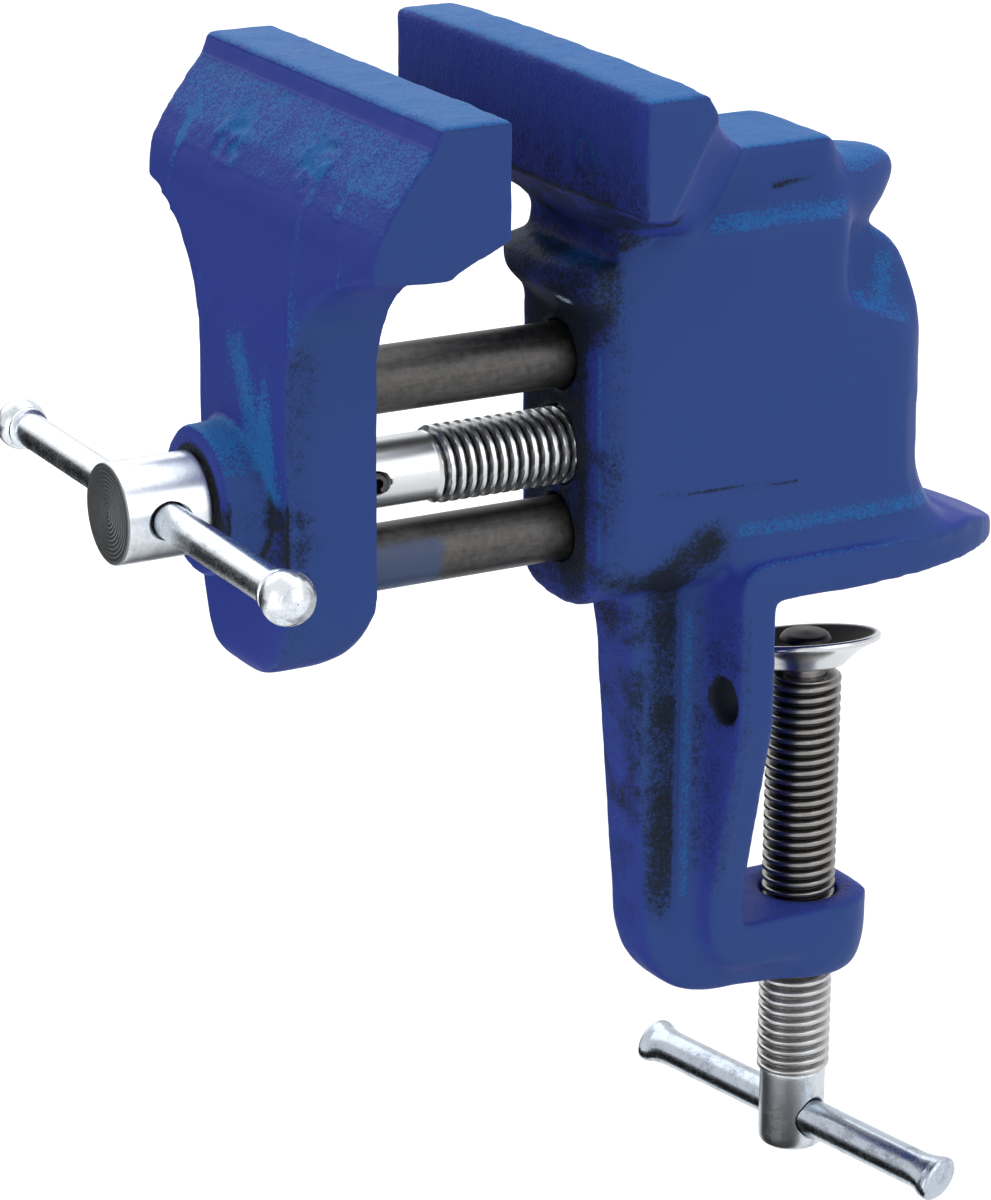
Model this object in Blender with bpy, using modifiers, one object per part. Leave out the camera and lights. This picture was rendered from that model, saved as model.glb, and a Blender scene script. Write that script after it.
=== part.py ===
"""Clamp-on bench vise: two castings, two guide bars, two screws, a swivel pad and two tommy bars.

Metres, +Z up. X runs along the jaws, -Y is the handle end, and the model mirrors about X = 0 apart
from the tommy bars, the pad and the ends of the fixed jaw. The origin lies on the underside of the
table, the face that rests on the bench, straight above the axis of the clamp screw.
"""
import math

import bmesh
import bpy
from mathutils import Euler, Matrix, Vector

# Fits and cuts
CLEARANCE = 0.0003
OVERRUN = 0.002
WELD = 0.00001
GRID = 0.000001

# Roundness of turned shapes, arcs and lofts
TURN_STEPS = 32
SMALL_TURN_STEPS = 20
ARC_STEPS = 4
CURVE_STEPS = 6
SECTION_POINTS = 20

# Jaws
JAW_WIDTH = 0.075
JAW_TOP = 0.0844
GRIP_HEIGHT = 0.017
GRIP_FROM_SCREW = 0.053
JAW_OPENING = 0.0214
FIXED_JAW_DEPTH = 0.010
FIXED_JAW_NEAR_END = 0.0375
FIXED_JAW_CROWN_AT_END = 0.0004
FIXED_JAW_FAR_END = 0.0389
FIXED_JAW_CROWN = 0.0011
MOVING_JAW_DEPTH = 0.0108

# Heights of the three bores above the underside of the table
UPPER_BAR_HEIGHT = 0.0385
SPINDLE_HEIGHT = 0.0243
LOWER_BAR_HEIGHT = 0.0112

# Wings of the fixed jaw. The crest and the heel of each wing run straight from the jaw's end to the
# side of the body: how far behind the gripping face they lie there, and how far below the jaw's top.
CREST_BACK_AT_END = 0.0115
CREST_BACK_AT_BODY = 0.0296
CREST_DROP_AT_END = 0.0035
CREST_DROP_AT_BODY = 0.0136
HEEL_BACK_AT_END = 0.0038
HEEL_BACK_AT_BODY = 0.0221
HEEL_DROP_AT_END = 0.0171
HEEL_DROP_AT_BODY = 0.0262
FLANK_HOLLOW = 0.0016
WING_TOP_CORNER = 0.0008
UNDERSIDE_SHARE = 0.8

# Body casting
BODY_WIDTH = 0.029
BODY_FRONT_SETBACK = 0.007
BODY_REAR = 0.0145
BODY_FRONT_CORNER = 0.0058
BODY_REAR_CORNER = 0.010
BODY_BOTTOM_CORNER = 0.0114
BLOCK_REAR = -0.0014
BLOCK_REAR_CORNER = 0.0046
BODY_LEDGE_BELOW_TOP = 0.027
COVE_SETBACK = 0.0095
COVE_HEIGHT = 0.0125
COVE_CORNER = 0.0038
COVE_TOP_BELOW_TOP = 0.020
LIP_REACH = 0.0042
LIP_HEIGHT = 0.0050
LIP_SLOPE_HEIGHT = 0.0042
LIP_CROWN = 0.0036
LIP_CORNER = 0.0022
RIDGE_SIZE = 0.0012

# Anvil, beak and hip behind the fixed jaw
ANVIL_WIDTH = 0.022
ANVIL_BELOW_TOP = 0.0148
ANVIL_REAR_ROUND = 0.0038
ANVIL_CORNER = 0.005
ANVIL_SKIRT_HEIGHT = 0.0025
BEAK_ROOT_HEIGHT = 0.0145
BEAK_TOP_BELOW_TOP = 0.0185
BEAK_NOSE_DROP = 0.0036
BEAK_REACH = 0.0124
# Each row: way along, and shares of the root's half width, the nose's drop and the root's height
BEAK_SHARES = (
    (0.00, 1.00, 0.00, 1.00),
    (0.35, 0.92, 0.00, 0.98),
    (0.60, 0.74, 0.06, 0.86),
    (0.80, 0.55, 0.20, 0.62),
    (0.93, 0.38, 0.42, 0.36),
    (0.98, 0.26, 0.68, 0.22),
    (1.00, 0.12, 1.00, 0.10),
)
BEAK_POWER = 2.6
HIP_TOP_BELOW_TOP = 0.0310
HIP_FOOT_BELOW_TOP = 0.0488
HIP_WIDTH = 0.0175
HIP_FLARE_BELOW_TOP = 0.0385
SHOULDER_BELOW_TOP = 0.0405
REAR_DEPTH = 0.0106
REAR_FOOT = 0.0158
# Each row: shares of the rear's depth and height, from the top of the hip down to the table's fillet
REAR_SHARES = (
    (0.00, 1.000),
    (0.38, 0.982),
    (0.60, 0.920),
    (0.76, 0.830),
    (0.85, 0.725),
    (0.89, 0.600),
    (0.92, 0.450),
    (0.97, 0.250),
    (1.00, 0.000),
)
# Each row: shares of the depth and height of the sloped shoulders beside the hip
SHOULDER_SHARES = (
    (0.30, 0.80),
    (0.60, 0.50),
    (0.85, 0.10),
    (1.00, -0.30),
)

# Table, the wing that lies on the bench
TABLE_OVERHANG = 0.0038
TABLE_THICKNESS = 0.0062
TABLE_REACH = 0.0326
TABLE_TAPER_FROM = -0.005
TABLE_TIP_THICKNESS = 0.0030
TABLE_TIP_SLOPE = 0.0100
TABLE_FILLET_SIDE = 0.0032
TABLE_FILLET_REAR = 0.0088
TABLE_FILLET_HEIGHT = 0.0120
TABLE_FILLET_TAPER = 0.0060

# C-frame below the table
THROAT_DEPTH = 0.0170
FLANGE_THICKNESS = 0.0063
FLANGE_INSET = 0.0001
FLANGE_BELOW_TABLE_TOP = 0.0001
FLANGE_TAPER_TOP = -0.0206
FLANGE_TAPER_BOTTOM = -0.050
ARM_WIDTH = 0.0220
ARM_TOP = -0.0565
ARM_THICKNESS = 0.0080
ARM_CORNER = 0.009
ARM_TOP_ROUND = 0.0028
FOOT_BOTTOM = -0.0700
FOOT_DIAMETER = 0.0180
FOOT_STRAIGHT = 0.0018
WEB_WIDTH = 0.0128
WEB_FRONT_TOP = 0.0206
WEB_FRONT_BOTTOM = 0.0154
WEB_BOTTOM = -0.0697
WEB_BOTTOM_AT_FOOT = -0.0708
WEB_CORNER = 0.0132
WEB_EDGE = 0.0023
WEB_FILLET = 0.004
FRAME_OUTER_CORNER = 0.0045
FIXING_HOLE_DIAMETER = 0.0068
FIXING_HOLE_SPACING = 0.026
FIXING_HOLE_BELOW_TABLE = 0.0166

# Moving jaw casting
HEAD_BULGE = 0.0107
HEAD_FOOT_BELOW_TOP = 0.0216
# Each row: shares of the bulge and of the drop from the top to the foot
HEAD_FRONT_SHARES = (
    (0.00, 0.000),
    (0.12, 0.157),
    (0.32, 0.270),
    (0.65, 0.480),
    (0.90, 0.690),
    (1.00, 0.850),
    (0.92, 0.945),
    (0.67, 1.000),
)
HEAD_FOOT_REAR = 0.010
COLUMN_WIDTH = 0.029
COLUMN_FRONT = 0.0237
COLUMN_CROWN = 0.0022
COLUMN_REAR = 0.0091
COLUMN_BOTTOM = -0.0026
COLUMN_BOTTOM_CORNER = 0.0125
COLUMN_HEEL_CORNER = 0.0100
COLUMN_EDGE = 0.0040
NECK_HEIGHT = 0.0200
SPINDLE_BOSS_DIAMETER = 0.0222
SPINDLE_BOSS_ROOT_DIAMETER = 0.0300
SPINDLE_BOSS_PROUD = 0.0076
SPINDLE_BOSS_RIM = 0.0018

# Guide bars
GUIDE_BAR_DIAMETER = 0.010
GUIDE_BAR_CHAMFER = 0.0008
GUIDE_BAR_SOCKET = 0.0105
BAR_END_IN_BODY = 0.039

# Main spindle
SPINDLE_THREAD_DIAMETER = 0.0118
SPINDLE_SHANK_DIAMETER = 0.0104
SPINDLE_HEAD_DIAMETER = 0.015
SPINDLE_HEAD_LENGTH = 0.0133
SPINDLE_HEAD_CHAMFER = 0.0006
SPINDLE_NECK_GAP = 0.0005
THREAD_CHAMFER = 0.0012
SHANK_PLAIN_PAST_PIN = 0.0036

# Thrust washer and spring pin that hold the spindle in the moving jaw
WASHER_DIAMETER = 0.0152
ROLL_PIN_DIAMETER = 0.0032
ROLL_PIN_WALL = 0.0006
ROLL_PIN_SLIT = 0.0007
ROLL_PIN_LENGTH = 0.0108
ROLL_PIN_BEHIND_COLUMN = 0.0047

# Main tommy bar and its knobs
TOMMY_DIAMETER = 0.0053
TOMMY_LENGTH = 0.0988
TOMMY_OFFSET = -0.0013
KNOB_DIAMETER = 0.0078
KNOB_OUTER = 0.0032
KNOB_INNER = 0.0036
KNOB_COLLAR = 0.0008

# Clamp screw
CLAMP_THREAD_DIAMETER = 0.0118
CLAMP_THREAD_TOP = -0.0198
CLAMP_HEAD_TOP = -0.0886
CLAMP_HEAD_DIAMETER = 0.0107
CLAMP_HEAD_LENGTH = 0.0133
CLAMP_HEAD_CHAMFER = 0.0008
CLAMP_BAR_HOLE_BELOW_HEAD_TOP = 0.0077
PAD_NECK_DIAMETER = 0.005
PAD_NECK_LENGTH = 0.0055
PAD_TIP_DIAMETER = 0.0084
PAD_TIP_HEIGHT = 0.0014

# Swivel pad, which hangs a little askew on its neck
PAD_DIAMETER = 0.0246
PAD_RIM_THICKNESS = 0.0012
PAD_LIP_WIDTH = 0.0012
PAD_DISH_DEPTH = 0.0024
PAD_FLOOR_DIAMETER = 0.0115
PAD_FLOOR_THICKNESS = 0.0018
PAD_FOOT_DIAMETER = 0.0112
PAD_HOLE_DIAMETER = 0.0072
PAD_LEAN_TO_NEAR = math.radians(-11)
PAD_LEAN_TO_REAR = math.radians(-4)
PAD_LEAN_BEARING = math.radians(61)

# Clamp tommy bar with swaged ends
CLAMP_BAR_DIAMETER = 0.006
CLAMP_BAR_LENGTH = 0.0685
CLAMP_BAR_BEARING = math.radians(11.2)
SWAGE_LENGTH = 0.0052
SWAGE_WIDTH = 0.0078
SWAGE_THICKNESS = 0.0050
SWAGE_SHARES = (0, 0.35, 0.8, 1.0)
SWAGE_END_SHARE = 0.6
SWAGE_ROLL = math.radians(35)

# Places worked out from the sizes above
FIXED_GRIP_Y = -GRIP_FROM_SCREW
MOVING_GRIP_Y = FIXED_GRIP_Y - JAW_OPENING
BODY_FRONT = FIXED_GRIP_Y + BODY_FRONT_SETBACK
GRIP_FOOT = JAW_TOP - GRIP_HEIGHT
ANVIL_TOP = JAW_TOP - ANVIL_BELOW_TOP
BODY_LEDGE = JAW_TOP - BODY_LEDGE_BELOW_TOP
COVE_FOOT = GRIP_FOOT - COVE_HEIGHT
LIP_FOOT = COVE_FOOT - LIP_HEIGHT
TABLE_HALF_WIDTH = BODY_WIDTH / 2 + TABLE_OVERHANG
FLANGE_FRONT = -THROAT_DEPTH - FLANGE_THICKNESS
ARM_BOTTOM = ARM_TOP - ARM_THICKNESS
COLUMN_FRONT_Y = MOVING_GRIP_Y - COLUMN_FRONT
COLUMN_REAR_Y = MOVING_GRIP_Y - COLUMN_REAR
BOSS_FACE_Y = COLUMN_FRONT_Y - SPINDLE_BOSS_PROUD
HEAD_FRONT_Y = BOSS_FACE_Y - SPINDLE_NECK_GAP - SPINDLE_HEAD_LENGTH
TOMMY_Y = HEAD_FRONT_Y + SPINDLE_HEAD_LENGTH / 2
BAR_END_Y = BODY_FRONT + BAR_END_IN_BODY
ROLL_PIN_Y = COLUMN_REAR_Y + ROLL_PIN_BEHIND_COLUMN
THREAD_START_Y = ROLL_PIN_Y + ROLL_PIN_DIAMETER / 2 + SHANK_PLAIN_PAST_PIN
CLAMP_BAR_Z = CLAMP_HEAD_TOP - CLAMP_BAR_HOLE_BELOW_HEAD_TOP

SHARP_ANGLE = math.radians(35)
QUARTER = math.pi / 2
HALF = math.pi

# Which way each flat outline is pushed: its own x and y, and the direction of its thickness
PLANES = {
    "X": Matrix(((0, 0, 1), (1, 0, 0), (0, 1, 0))),
    "Y": Matrix(((1, 0, 0), (0, 0, -1), (0, 1, 0))),
    "Z": Matrix.Identity(3),
}


def clear_scene():
    for obj in list(bpy.data.objects):
        bpy.data.objects.remove(obj, do_unlink=True)


def new_collection(name):
    collection = bpy.data.collections.new(name)
    bpy.context.scene.collection.children.link(collection)
    return collection


def metal(name, colour, roughness, metallic, coat=0.0):
    material = bpy.data.materials.new(name)
    material.use_nodes = True
    shader = material.node_tree.nodes["Principled BSDF"]
    shader.inputs["Base Color"].default_value = (*colour, 1)
    shader.inputs["Roughness"].default_value = roughness
    shader.inputs["Metallic"].default_value = metallic
    shader.inputs["Coat Weight"].default_value = coat
    material.diffuse_color = (*colour, 1)
    return material


# Outlines

def arc(centre, radii, start, end, steps=ARC_STEPS):
    """Points of an elliptical arc, from the start angle to the end angle."""
    points = []
    for i in range(steps + 1):
        angle = start + (end - start) * i / steps
        points.append((centre[0] + radii[0] * math.cos(angle), centre[1] + radii[1] * math.sin(angle)))
    return points


def round_corner(before, corner, after, radius, steps=ARC_STEPS):
    """The corner of a polygon, replaced by an arc that touches both of its sides."""
    corner = Vector(corner)
    to_before = (Vector(before) - corner).normalized()
    to_after = (Vector(after) - corner).normalized()
    half = to_before.angle(to_after) / 2
    centre = corner + (to_before + to_after).normalized() * (radius / math.sin(half))
    first = corner + to_before * (radius / math.tan(half)) - centre
    last = corner + to_after * (radius / math.tan(half)) - centre
    sweep = first.angle_signed(last)
    points = []
    for i in range(steps + 1):
        angle = -sweep * i / steps
        turned_point = centre + Matrix.Rotation(angle, 2) @ first
        points.append(tuple(turned_point))
    return points


def rounded(corners):
    """A closed outline from (point, radius) pairs, where a radius of 0 keeps the corner sharp."""
    outline = []
    count = len(corners)
    for i, (point, radius) in enumerate(corners):
        if radius:
            outline += round_corner(corners[i - 1][0], point, corners[(i + 1) % count][0], radius)
        else:
            outline.append(tuple(point))
    return outline


def mirrored(half_outline):
    """A whole outline from its +X half, listed from the centre line round to the centre line."""
    other = [(-x, y) for x, y in reversed(half_outline) if x > WELD]
    return [point for point in half_outline] + other


def without_straight_points(outline):
    """The same outline without repeated points and points that lie on a straight run."""
    kept = []
    for i, point in enumerate(outline):
        before = Vector(kept[-1] if kept else outline[-1])
        here = Vector(point)
        after = Vector(outline[(i + 1) % len(outline)])
        run = after - before
        if (here - before).length < WELD:
            continue
        if run.length > WELD and abs(run.cross(here - before)) / run.length < GRID / 2:
            if run.dot(here - before) > 0 and (here - before).length < run.length:
                continue
        kept.append(point)
    return kept


# Solids

def mesh_object(name, mesh, collection):
    obj = bpy.data.objects.new(name, mesh)
    collection.objects.link(obj)
    return obj


def plate(name, outline, axis, low, high, collection):
    """A flat outline pushed along one axis, from low to high."""
    outline = without_straight_points(outline)
    curve = bpy.data.curves.new(name, "CURVE")
    curve.dimensions = "2D"
    curve.fill_mode = "BOTH"
    curve.extrude = (high - low) / 2
    spline = curve.splines.new("POLY")
    spline.points.add(len(outline) - 1)
    for point, (x, y) in zip(spline.points, outline):
        point.co = (x, y, 0, 1)
    spline.use_cyclic_u = True
    source = bpy.data.objects.new(name + "_outline", curve)
    collection.objects.link(source)
    evaluated = source.evaluated_get(bpy.context.evaluated_depsgraph_get())
    mesh = bpy.data.meshes.new_from_object(evaluated)
    bpy.data.objects.remove(source, do_unlink=True)
    middle = Vector((axis == "X", axis == "Y", axis == "Z")) * (low + high) / 2
    snap(mesh, Matrix.Translation(middle) @ PLANES[axis].to_4x4())
    weld(mesh)
    return mesh_object(name, mesh, collection)


def snap(mesh, place):
    """Move a mesh to its place, with every point on a fine grid so that flush faces are truly flush."""
    for vertex in mesh.vertices:
        vertex.co = [round(value / GRID) * GRID for value in place @ vertex.co]


def weld(mesh):
    bm = bmesh.new()
    bm.from_mesh(mesh)
    bmesh.ops.remove_doubles(bm, verts=bm.verts, dist=WELD)
    bmesh.ops.recalc_face_normals(bm, faces=bm.faces)
    bm.to_mesh(mesh)
    bm.free()


def turned(name, profile, steps, collection, place, turn=(0, 0, 0)):
    """A profile of (radius, height) points, outer side from top to bottom, spun round its own Z."""
    mesh = bpy.data.meshes.new(name)
    points = [(radius, 0, height) for radius, height in profile]
    edges = [(i, i + 1) for i in range(len(points) - 1)]
    if profile[0][0] > 0:
        edges.append((len(points) - 1, 0))
    mesh.from_pydata(points, edges, [])
    obj = mesh_object(name, mesh, collection)
    obj.location = place
    obj.rotation_euler = turn
    spin = obj.modifiers.new("spin", "SCREW")
    spin.steps = spin.render_steps = steps
    spin.use_merge_vertices = True
    spin.merge_threshold = WELD
    spin.use_smooth_shade = True
    return obj


def rod(name, diameter, low, high, axis, place, collection, steps=TURN_STEPS):
    """A plain round cutter or bar along one axis, from low to high."""
    turn = {"X": (0, QUARTER, 0), "Y": (-QUARTER, 0, 0), "Z": (0, 0, 0)}[axis]
    profile = [(0, high), (diameter / 2, high), (diameter / 2, low), (0, low)]
    return turned(name, profile, steps, collection, place, turn)


def loft(name, rings, collection):
    """A closed skin over rings that have the same number of points, capped at both ends."""
    bm = bmesh.new()
    rows = [[bm.verts.new(point) for point in ring] for ring in rings]
    count = len(rings[0])
    for below, above in zip(rows, rows[1:]):
        for i in range(count):
            j = (i + 1) % count
            bm.faces.new((below[i], below[j], above[j], above[i]))
    bm.faces.new(rows[0])
    bm.faces.new(rows[-1])
    bmesh.ops.recalc_face_normals(bm, faces=bm.faces)
    mesh = bpy.data.meshes.new(name)
    bm.to_mesh(mesh)
    bm.free()
    return mesh_object(name, mesh, collection)


def combine(target, tool, operation):
    modifier = target.modifiers.new(f"{operation.lower()}_{tool.name}"[:60], "BOOLEAN")
    modifier.operation = operation
    modifier.object = tool
    joiner = target.modifiers.new(f"weld_{tool.name}"[:60], "WELD")
    joiner.merge_threshold = 2 * GRID
    tool.hide_render = True
    tool.display_type = "WIRE"


def finish(obj, material, parent=None):
    """Apply the modifiers, shade round faces smooth, and give a piece its material and parent."""
    bpy.context.view_layer.update()
    evaluated = obj.evaluated_get(bpy.context.evaluated_depsgraph_get())
    mesh = bpy.data.meshes.new_from_object(evaluated)
    obj.modifiers.clear()
    obj.data = mesh
    mesh.name = obj.name
    mesh.shade_smooth()
    mesh.set_sharp_from_angle(angle=SHARP_ANGLE)
    mesh.materials.clear()
    mesh.materials.append(material)
    if parent:
        carry(obj, parent)
    return obj


def carry(obj, parent):
    """Parent a piece to an unturned empty, and leave the piece where it is."""
    obj.parent = parent
    obj.matrix_parent_inverse = Matrix.Translation(parent.location).inverted()


def axis_empty(name, place, collection, parent=None):
    empty = bpy.data.objects.new(name, None)
    empty.empty_display_size = KNOB_DIAMETER
    collection.objects.link(empty)
    empty.location = place
    if parent:
        carry(empty, parent)
    return empty


# Body casting

def body_trunk(cutters):
    """The bored block under the fixed jaw, hollowed below the jaw."""
    cove_y = FIXED_GRIP_Y + COVE_SETBACK
    cove_top = JAW_TOP - COVE_TOP_BELOW_TOP
    side = rounded([
        ((BODY_FRONT, 0), 0),
        ((BLOCK_REAR, 0), 0),
        ((BLOCK_REAR, BODY_LEDGE), 0),
        ((cove_y + COVE_CORNER + RIDGE_SIZE, BODY_LEDGE), 0),
        ((cove_y + COVE_CORNER + RIDGE_SIZE, cove_top), 0),
        ((cove_y, cove_top), 0),
        ((cove_y, COVE_FOOT), COVE_CORNER),
        ((BODY_FRONT, COVE_FOOT - RIDGE_SIZE), 0),
    ])
    half = BODY_WIDTH / 2
    plan = rounded([
        ((half, BODY_FRONT), BODY_FRONT_CORNER),
        ((half, BLOCK_REAR), BLOCK_REAR_CORNER),
        ((-half, BLOCK_REAR), BLOCK_REAR_CORNER),
        ((-half, BODY_FRONT), BODY_FRONT_CORNER),
    ])
    front = rounded([
        ((half, 0), BODY_BOTTOM_CORNER),
        ((half, cove_top + OVERRUN), 0),
        ((-half, cove_top + OVERRUN), 0),
        ((-half, 0), BODY_BOTTOM_CORNER),
    ])
    trunk = plate("vise_body", side, "X", -half - OVERRUN, half + OVERRUN, cutters)
    combine(trunk, plate("trunk_plan", plan, "Z", -OVERRUN, cove_top + OVERRUN, cutters), "INTERSECT")
    span = (BODY_FRONT - OVERRUN, BLOCK_REAR + OVERRUN)
    combine(trunk, plate("trunk_front", front, "Y", *span, cutters), "INTERSECT")
    return trunk


def lip(cutters):
    """The crowned rib across the front of the body, under the cove."""
    half = BODY_WIDTH / 2 - CLEARANCE
    root_y = BODY_FRONT + LIP_REACH
    slope_foot = LIP_FOOT - LIP_SLOPE_HEIGHT
    rings = []
    for turn, back in arc((0, 0), (1, 1), -QUARTER, QUARTER, CURVE_STEPS * 2):
        shift = LIP_CROWN * (1 - turn)
        side = rounded([
            ((root_y, slope_foot), 0),
            ((root_y, COVE_FOOT), 0),
            ((BODY_FRONT - LIP_REACH + shift, COVE_FOOT), LIP_CORNER),
            ((BODY_FRONT - LIP_REACH + shift, LIP_FOOT), LIP_CORNER),
            ((BODY_FRONT + shift, slope_foot), 0),
        ])
        rings.append([(half * back, y, z) for y, z in side])
    return loft("lip", rings, cutters)


def wing_section(x):
    """Side view of the fixed jaw at one distance from the centre line, as points in space."""
    end = FIXED_JAW_NEAR_END if x > 0 else FIXED_JAW_FAR_END
    root = BODY_WIDTH / 2
    along = (end - abs(x)) / (end - root)
    rise = math.sin(QUARTER * min(1, along))
    crown = FIXED_JAW_CROWN_AT_END + (FIXED_JAW_CROWN - FIXED_JAW_CROWN_AT_END) * rise
    crest_y = CREST_BACK_AT_END + (CREST_BACK_AT_BODY - CREST_BACK_AT_END) * along
    crest_z = CREST_DROP_AT_END + (CREST_DROP_AT_BODY - CREST_DROP_AT_END) * along
    heel_y = HEEL_BACK_AT_END + (HEEL_BACK_AT_BODY - HEEL_BACK_AT_END) * along
    heel_z = HEEL_DROP_AT_END + (HEEL_DROP_AT_BODY - HEEL_DROP_AT_END) * along
    underside_z = GRIP_HEIGHT + (heel_z - HEEL_DROP_AT_END) * UNDERSIDE_SHARE
    hollow = FLANK_HOLLOW * max(0, math.sin(math.pi * along))
    side = [
        (0, WING_TOP_CORNER - crown),
        (WING_TOP_CORNER, -crown),
        (FIXED_JAW_DEPTH, -crown),
        (FIXED_JAW_DEPTH + WING_TOP_CORNER, CREST_DROP_AT_END / 2 - crown),
        (crest_y, crest_z),
        ((crest_y + heel_y) / 2 - hollow, (crest_z + heel_z) / 2),
        (heel_y, heel_z),
        (min(heel_y / 2, COVE_SETBACK), underside_z + GRID),
        (0, GRIP_HEIGHT),
    ]
    return [(x, FIXED_GRIP_Y + y, JAW_TOP - z) for y, z in side]


def jaw_wings(cutters):
    """The fixed jaw and the two gussets behind it, as sections that run from end to end."""
    root, flat = BODY_WIDTH / 2, ANVIL_WIDTH / 2 - OVERRUN
    near, far = FIXED_JAW_NEAR_END, FIXED_JAW_FAR_END
    places = [near, (near + root) / 2, root, flat, -flat, -root, -(far + root) / 2, -far]
    return loft("jaw_wings", [wing_section(x) for x in places], cutters)


def anvil(cutters):
    """The flat anvil behind the jaw, with the sloped skirt down to the body."""
    half = ANVIL_WIDTH / 2
    body_half = BODY_WIDTH / 2
    front_y = FIXED_GRIP_Y + COVE_SETBACK + COVE_CORNER
    section = mirrored([
        (0, ANVIL_TOP),
        (half, ANVIL_TOP),
        (half, BODY_LEDGE + ANVIL_SKIRT_HEIGHT),
        (body_half, BODY_LEDGE),
        (body_half, BODY_LEDGE - OVERRUN),
        (0, BODY_LEDGE - OVERRUN),
    ])
    block = plate("anvil", section, "Y", front_y, BLOCK_REAR + OVERRUN, cutters)
    side = rounded([
        ((front_y - OVERRUN, BODY_LEDGE - OVERRUN * 2), 0),
        ((BLOCK_REAR, BODY_LEDGE - OVERRUN * 2), 0),
        ((BLOCK_REAR, ANVIL_TOP - ANVIL_REAR_ROUND), 0),
        ((BLOCK_REAR - RIDGE_SIZE / 2, ANVIL_TOP), ANVIL_REAR_ROUND),
        ((front_y - OVERRUN, ANVIL_TOP), 0),
    ])
    span = (-body_half - OVERRUN, body_half + OVERRUN)
    combine(block, plate("anvil_side", side, "X", *span, cutters), "INTERSECT")
    plan = rounded([
        ((half, front_y - OVERRUN * 2), 0),
        ((half, BLOCK_REAR + GRID), ANVIL_CORNER),
        ((-half, BLOCK_REAR + GRID), ANVIL_CORNER),
        ((-half, front_y - OVERRUN * 2), 0),
    ])
    low, high = BODY_LEDGE + ANVIL_SKIRT_HEIGHT, ANVIL_TOP + OVERRUN
    top = plate("anvil_top_plan", plan, "Z", low, high, cutters)
    plan = rounded([
        ((body_half + OVERRUN, front_y - OVERRUN * 2), 0),
        ((body_half, BLOCK_REAR), BLOCK_REAR_CORNER),
        ((-body_half, BLOCK_REAR), BLOCK_REAR_CORNER),
        ((-body_half - OVERRUN, front_y - OVERRUN * 2), 0),
    ])
    skirt = plate("anvil_skirt_plan", plan, "Z", BODY_LEDGE - OVERRUN * 2, low + OVERRUN, cutters)
    combine(top, skirt, "UNION")
    combine(block, top, "INTERSECT")
    return block


def superellipse(half_width, half_height, power, count):
    """Points of |x/w|^p + |z/h|^p = 1, even in angle, from the +X side upwards."""
    points = []
    for i in range(count):
        angle = 2 * math.pi * i / count
        c, s = math.cos(angle), math.sin(angle)
        points.append((math.copysign(abs(c) ** (2 / power), c) * half_width,
                       math.copysign(abs(s) ** (2 / power), s) * half_height))
    return points


def beak(cutters):
    """The crowned horn behind the anvil: rings that shrink and sink towards its blunt nose."""
    root_y = BLOCK_REAR - ANVIL_CORNER
    root_top = JAW_TOP - BEAK_TOP_BELOW_TOP
    rings = []
    for along, wide, top_drop, high in BEAK_SHARES:
        y = root_y + (BEAK_REACH - root_y) * along
        half_width = ANVIL_WIDTH / 2 * wide
        half_height = BEAK_ROOT_HEIGHT / 2 * high
        z = root_top - BEAK_NOSE_DROP * top_drop - half_height
        section = superellipse(half_width, half_height, BEAK_POWER, SECTION_POINTS)
        rings.append([(x, y, z + dz) for x, dz in section])
    return loft("beak", rings, cutters)


def rear_side():
    """Side view of the body's rear, from the top of the hip down."""
    height = JAW_TOP - HIP_TOP_BELOW_TOP - REAR_FOOT
    return [(BODY_REAR - REAR_DEPTH * (1 - out), REAR_FOOT + height * up) for out, up in REAR_SHARES]


def hip(cutters):
    """The narrow rounded rump below the beak, which widens to the full body at its foot."""
    top = JAW_TOP - HIP_TOP_BELOW_TOP
    foot = JAW_TOP - HIP_FOOT_BELOW_TOP
    flare = JAW_TOP - HIP_FLARE_BELOW_TOP
    root_y = BLOCK_REAR - ANVIL_CORNER
    side = [(root_y, OVERRUN / 2), (root_y, top)] + rear_side() + [(BODY_REAR, OVERRUN / 2)]
    half, narrow = BODY_WIDTH / 2, HIP_WIDTH / 2
    rump = plate("hip", side, "X", -half, half, cutters)
    front_half = [(0, foot - OVERRUN), (half - RIDGE_SIZE, foot - OVERRUN), (half - RIDGE_SIZE, foot)]
    front_half += [(narrow + (half - narrow) * 2 / 3, (foot * 3 + flare) / 4)]
    front_half += [(narrow + (half - narrow) / 4, (foot + flare * 2) / 3)]
    front_half += [(narrow, flare), (narrow * 8 / 9, top + OVERRUN), (0, top + OVERRUN)]
    span = (root_y - OVERRUN, BODY_REAR + OVERRUN)
    combine(rump, plate("hip_front", mirrored(front_half), "Y", *span, cutters), "INTERSECT")
    combine(rump, rear_plan("hip_plan", foot - OVERRUN, top + OVERRUN, cutters), "INTERSECT")
    return rump


def rear_plan(name, low, high, cutters):
    """The plan of the body's rear, as a cutter."""
    half = BODY_WIDTH / 2
    front_y = BLOCK_REAR - ANVIL_CORNER - OVERRUN * 2
    plan = rounded([
        ((half, front_y), 0),
        ((half, BODY_REAR), BODY_REAR_CORNER),
        ((-half, BODY_REAR), BODY_REAR_CORNER),
        ((-half, front_y), 0),
    ])
    return plate(name, plan, "Z", low, high, cutters)


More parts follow.
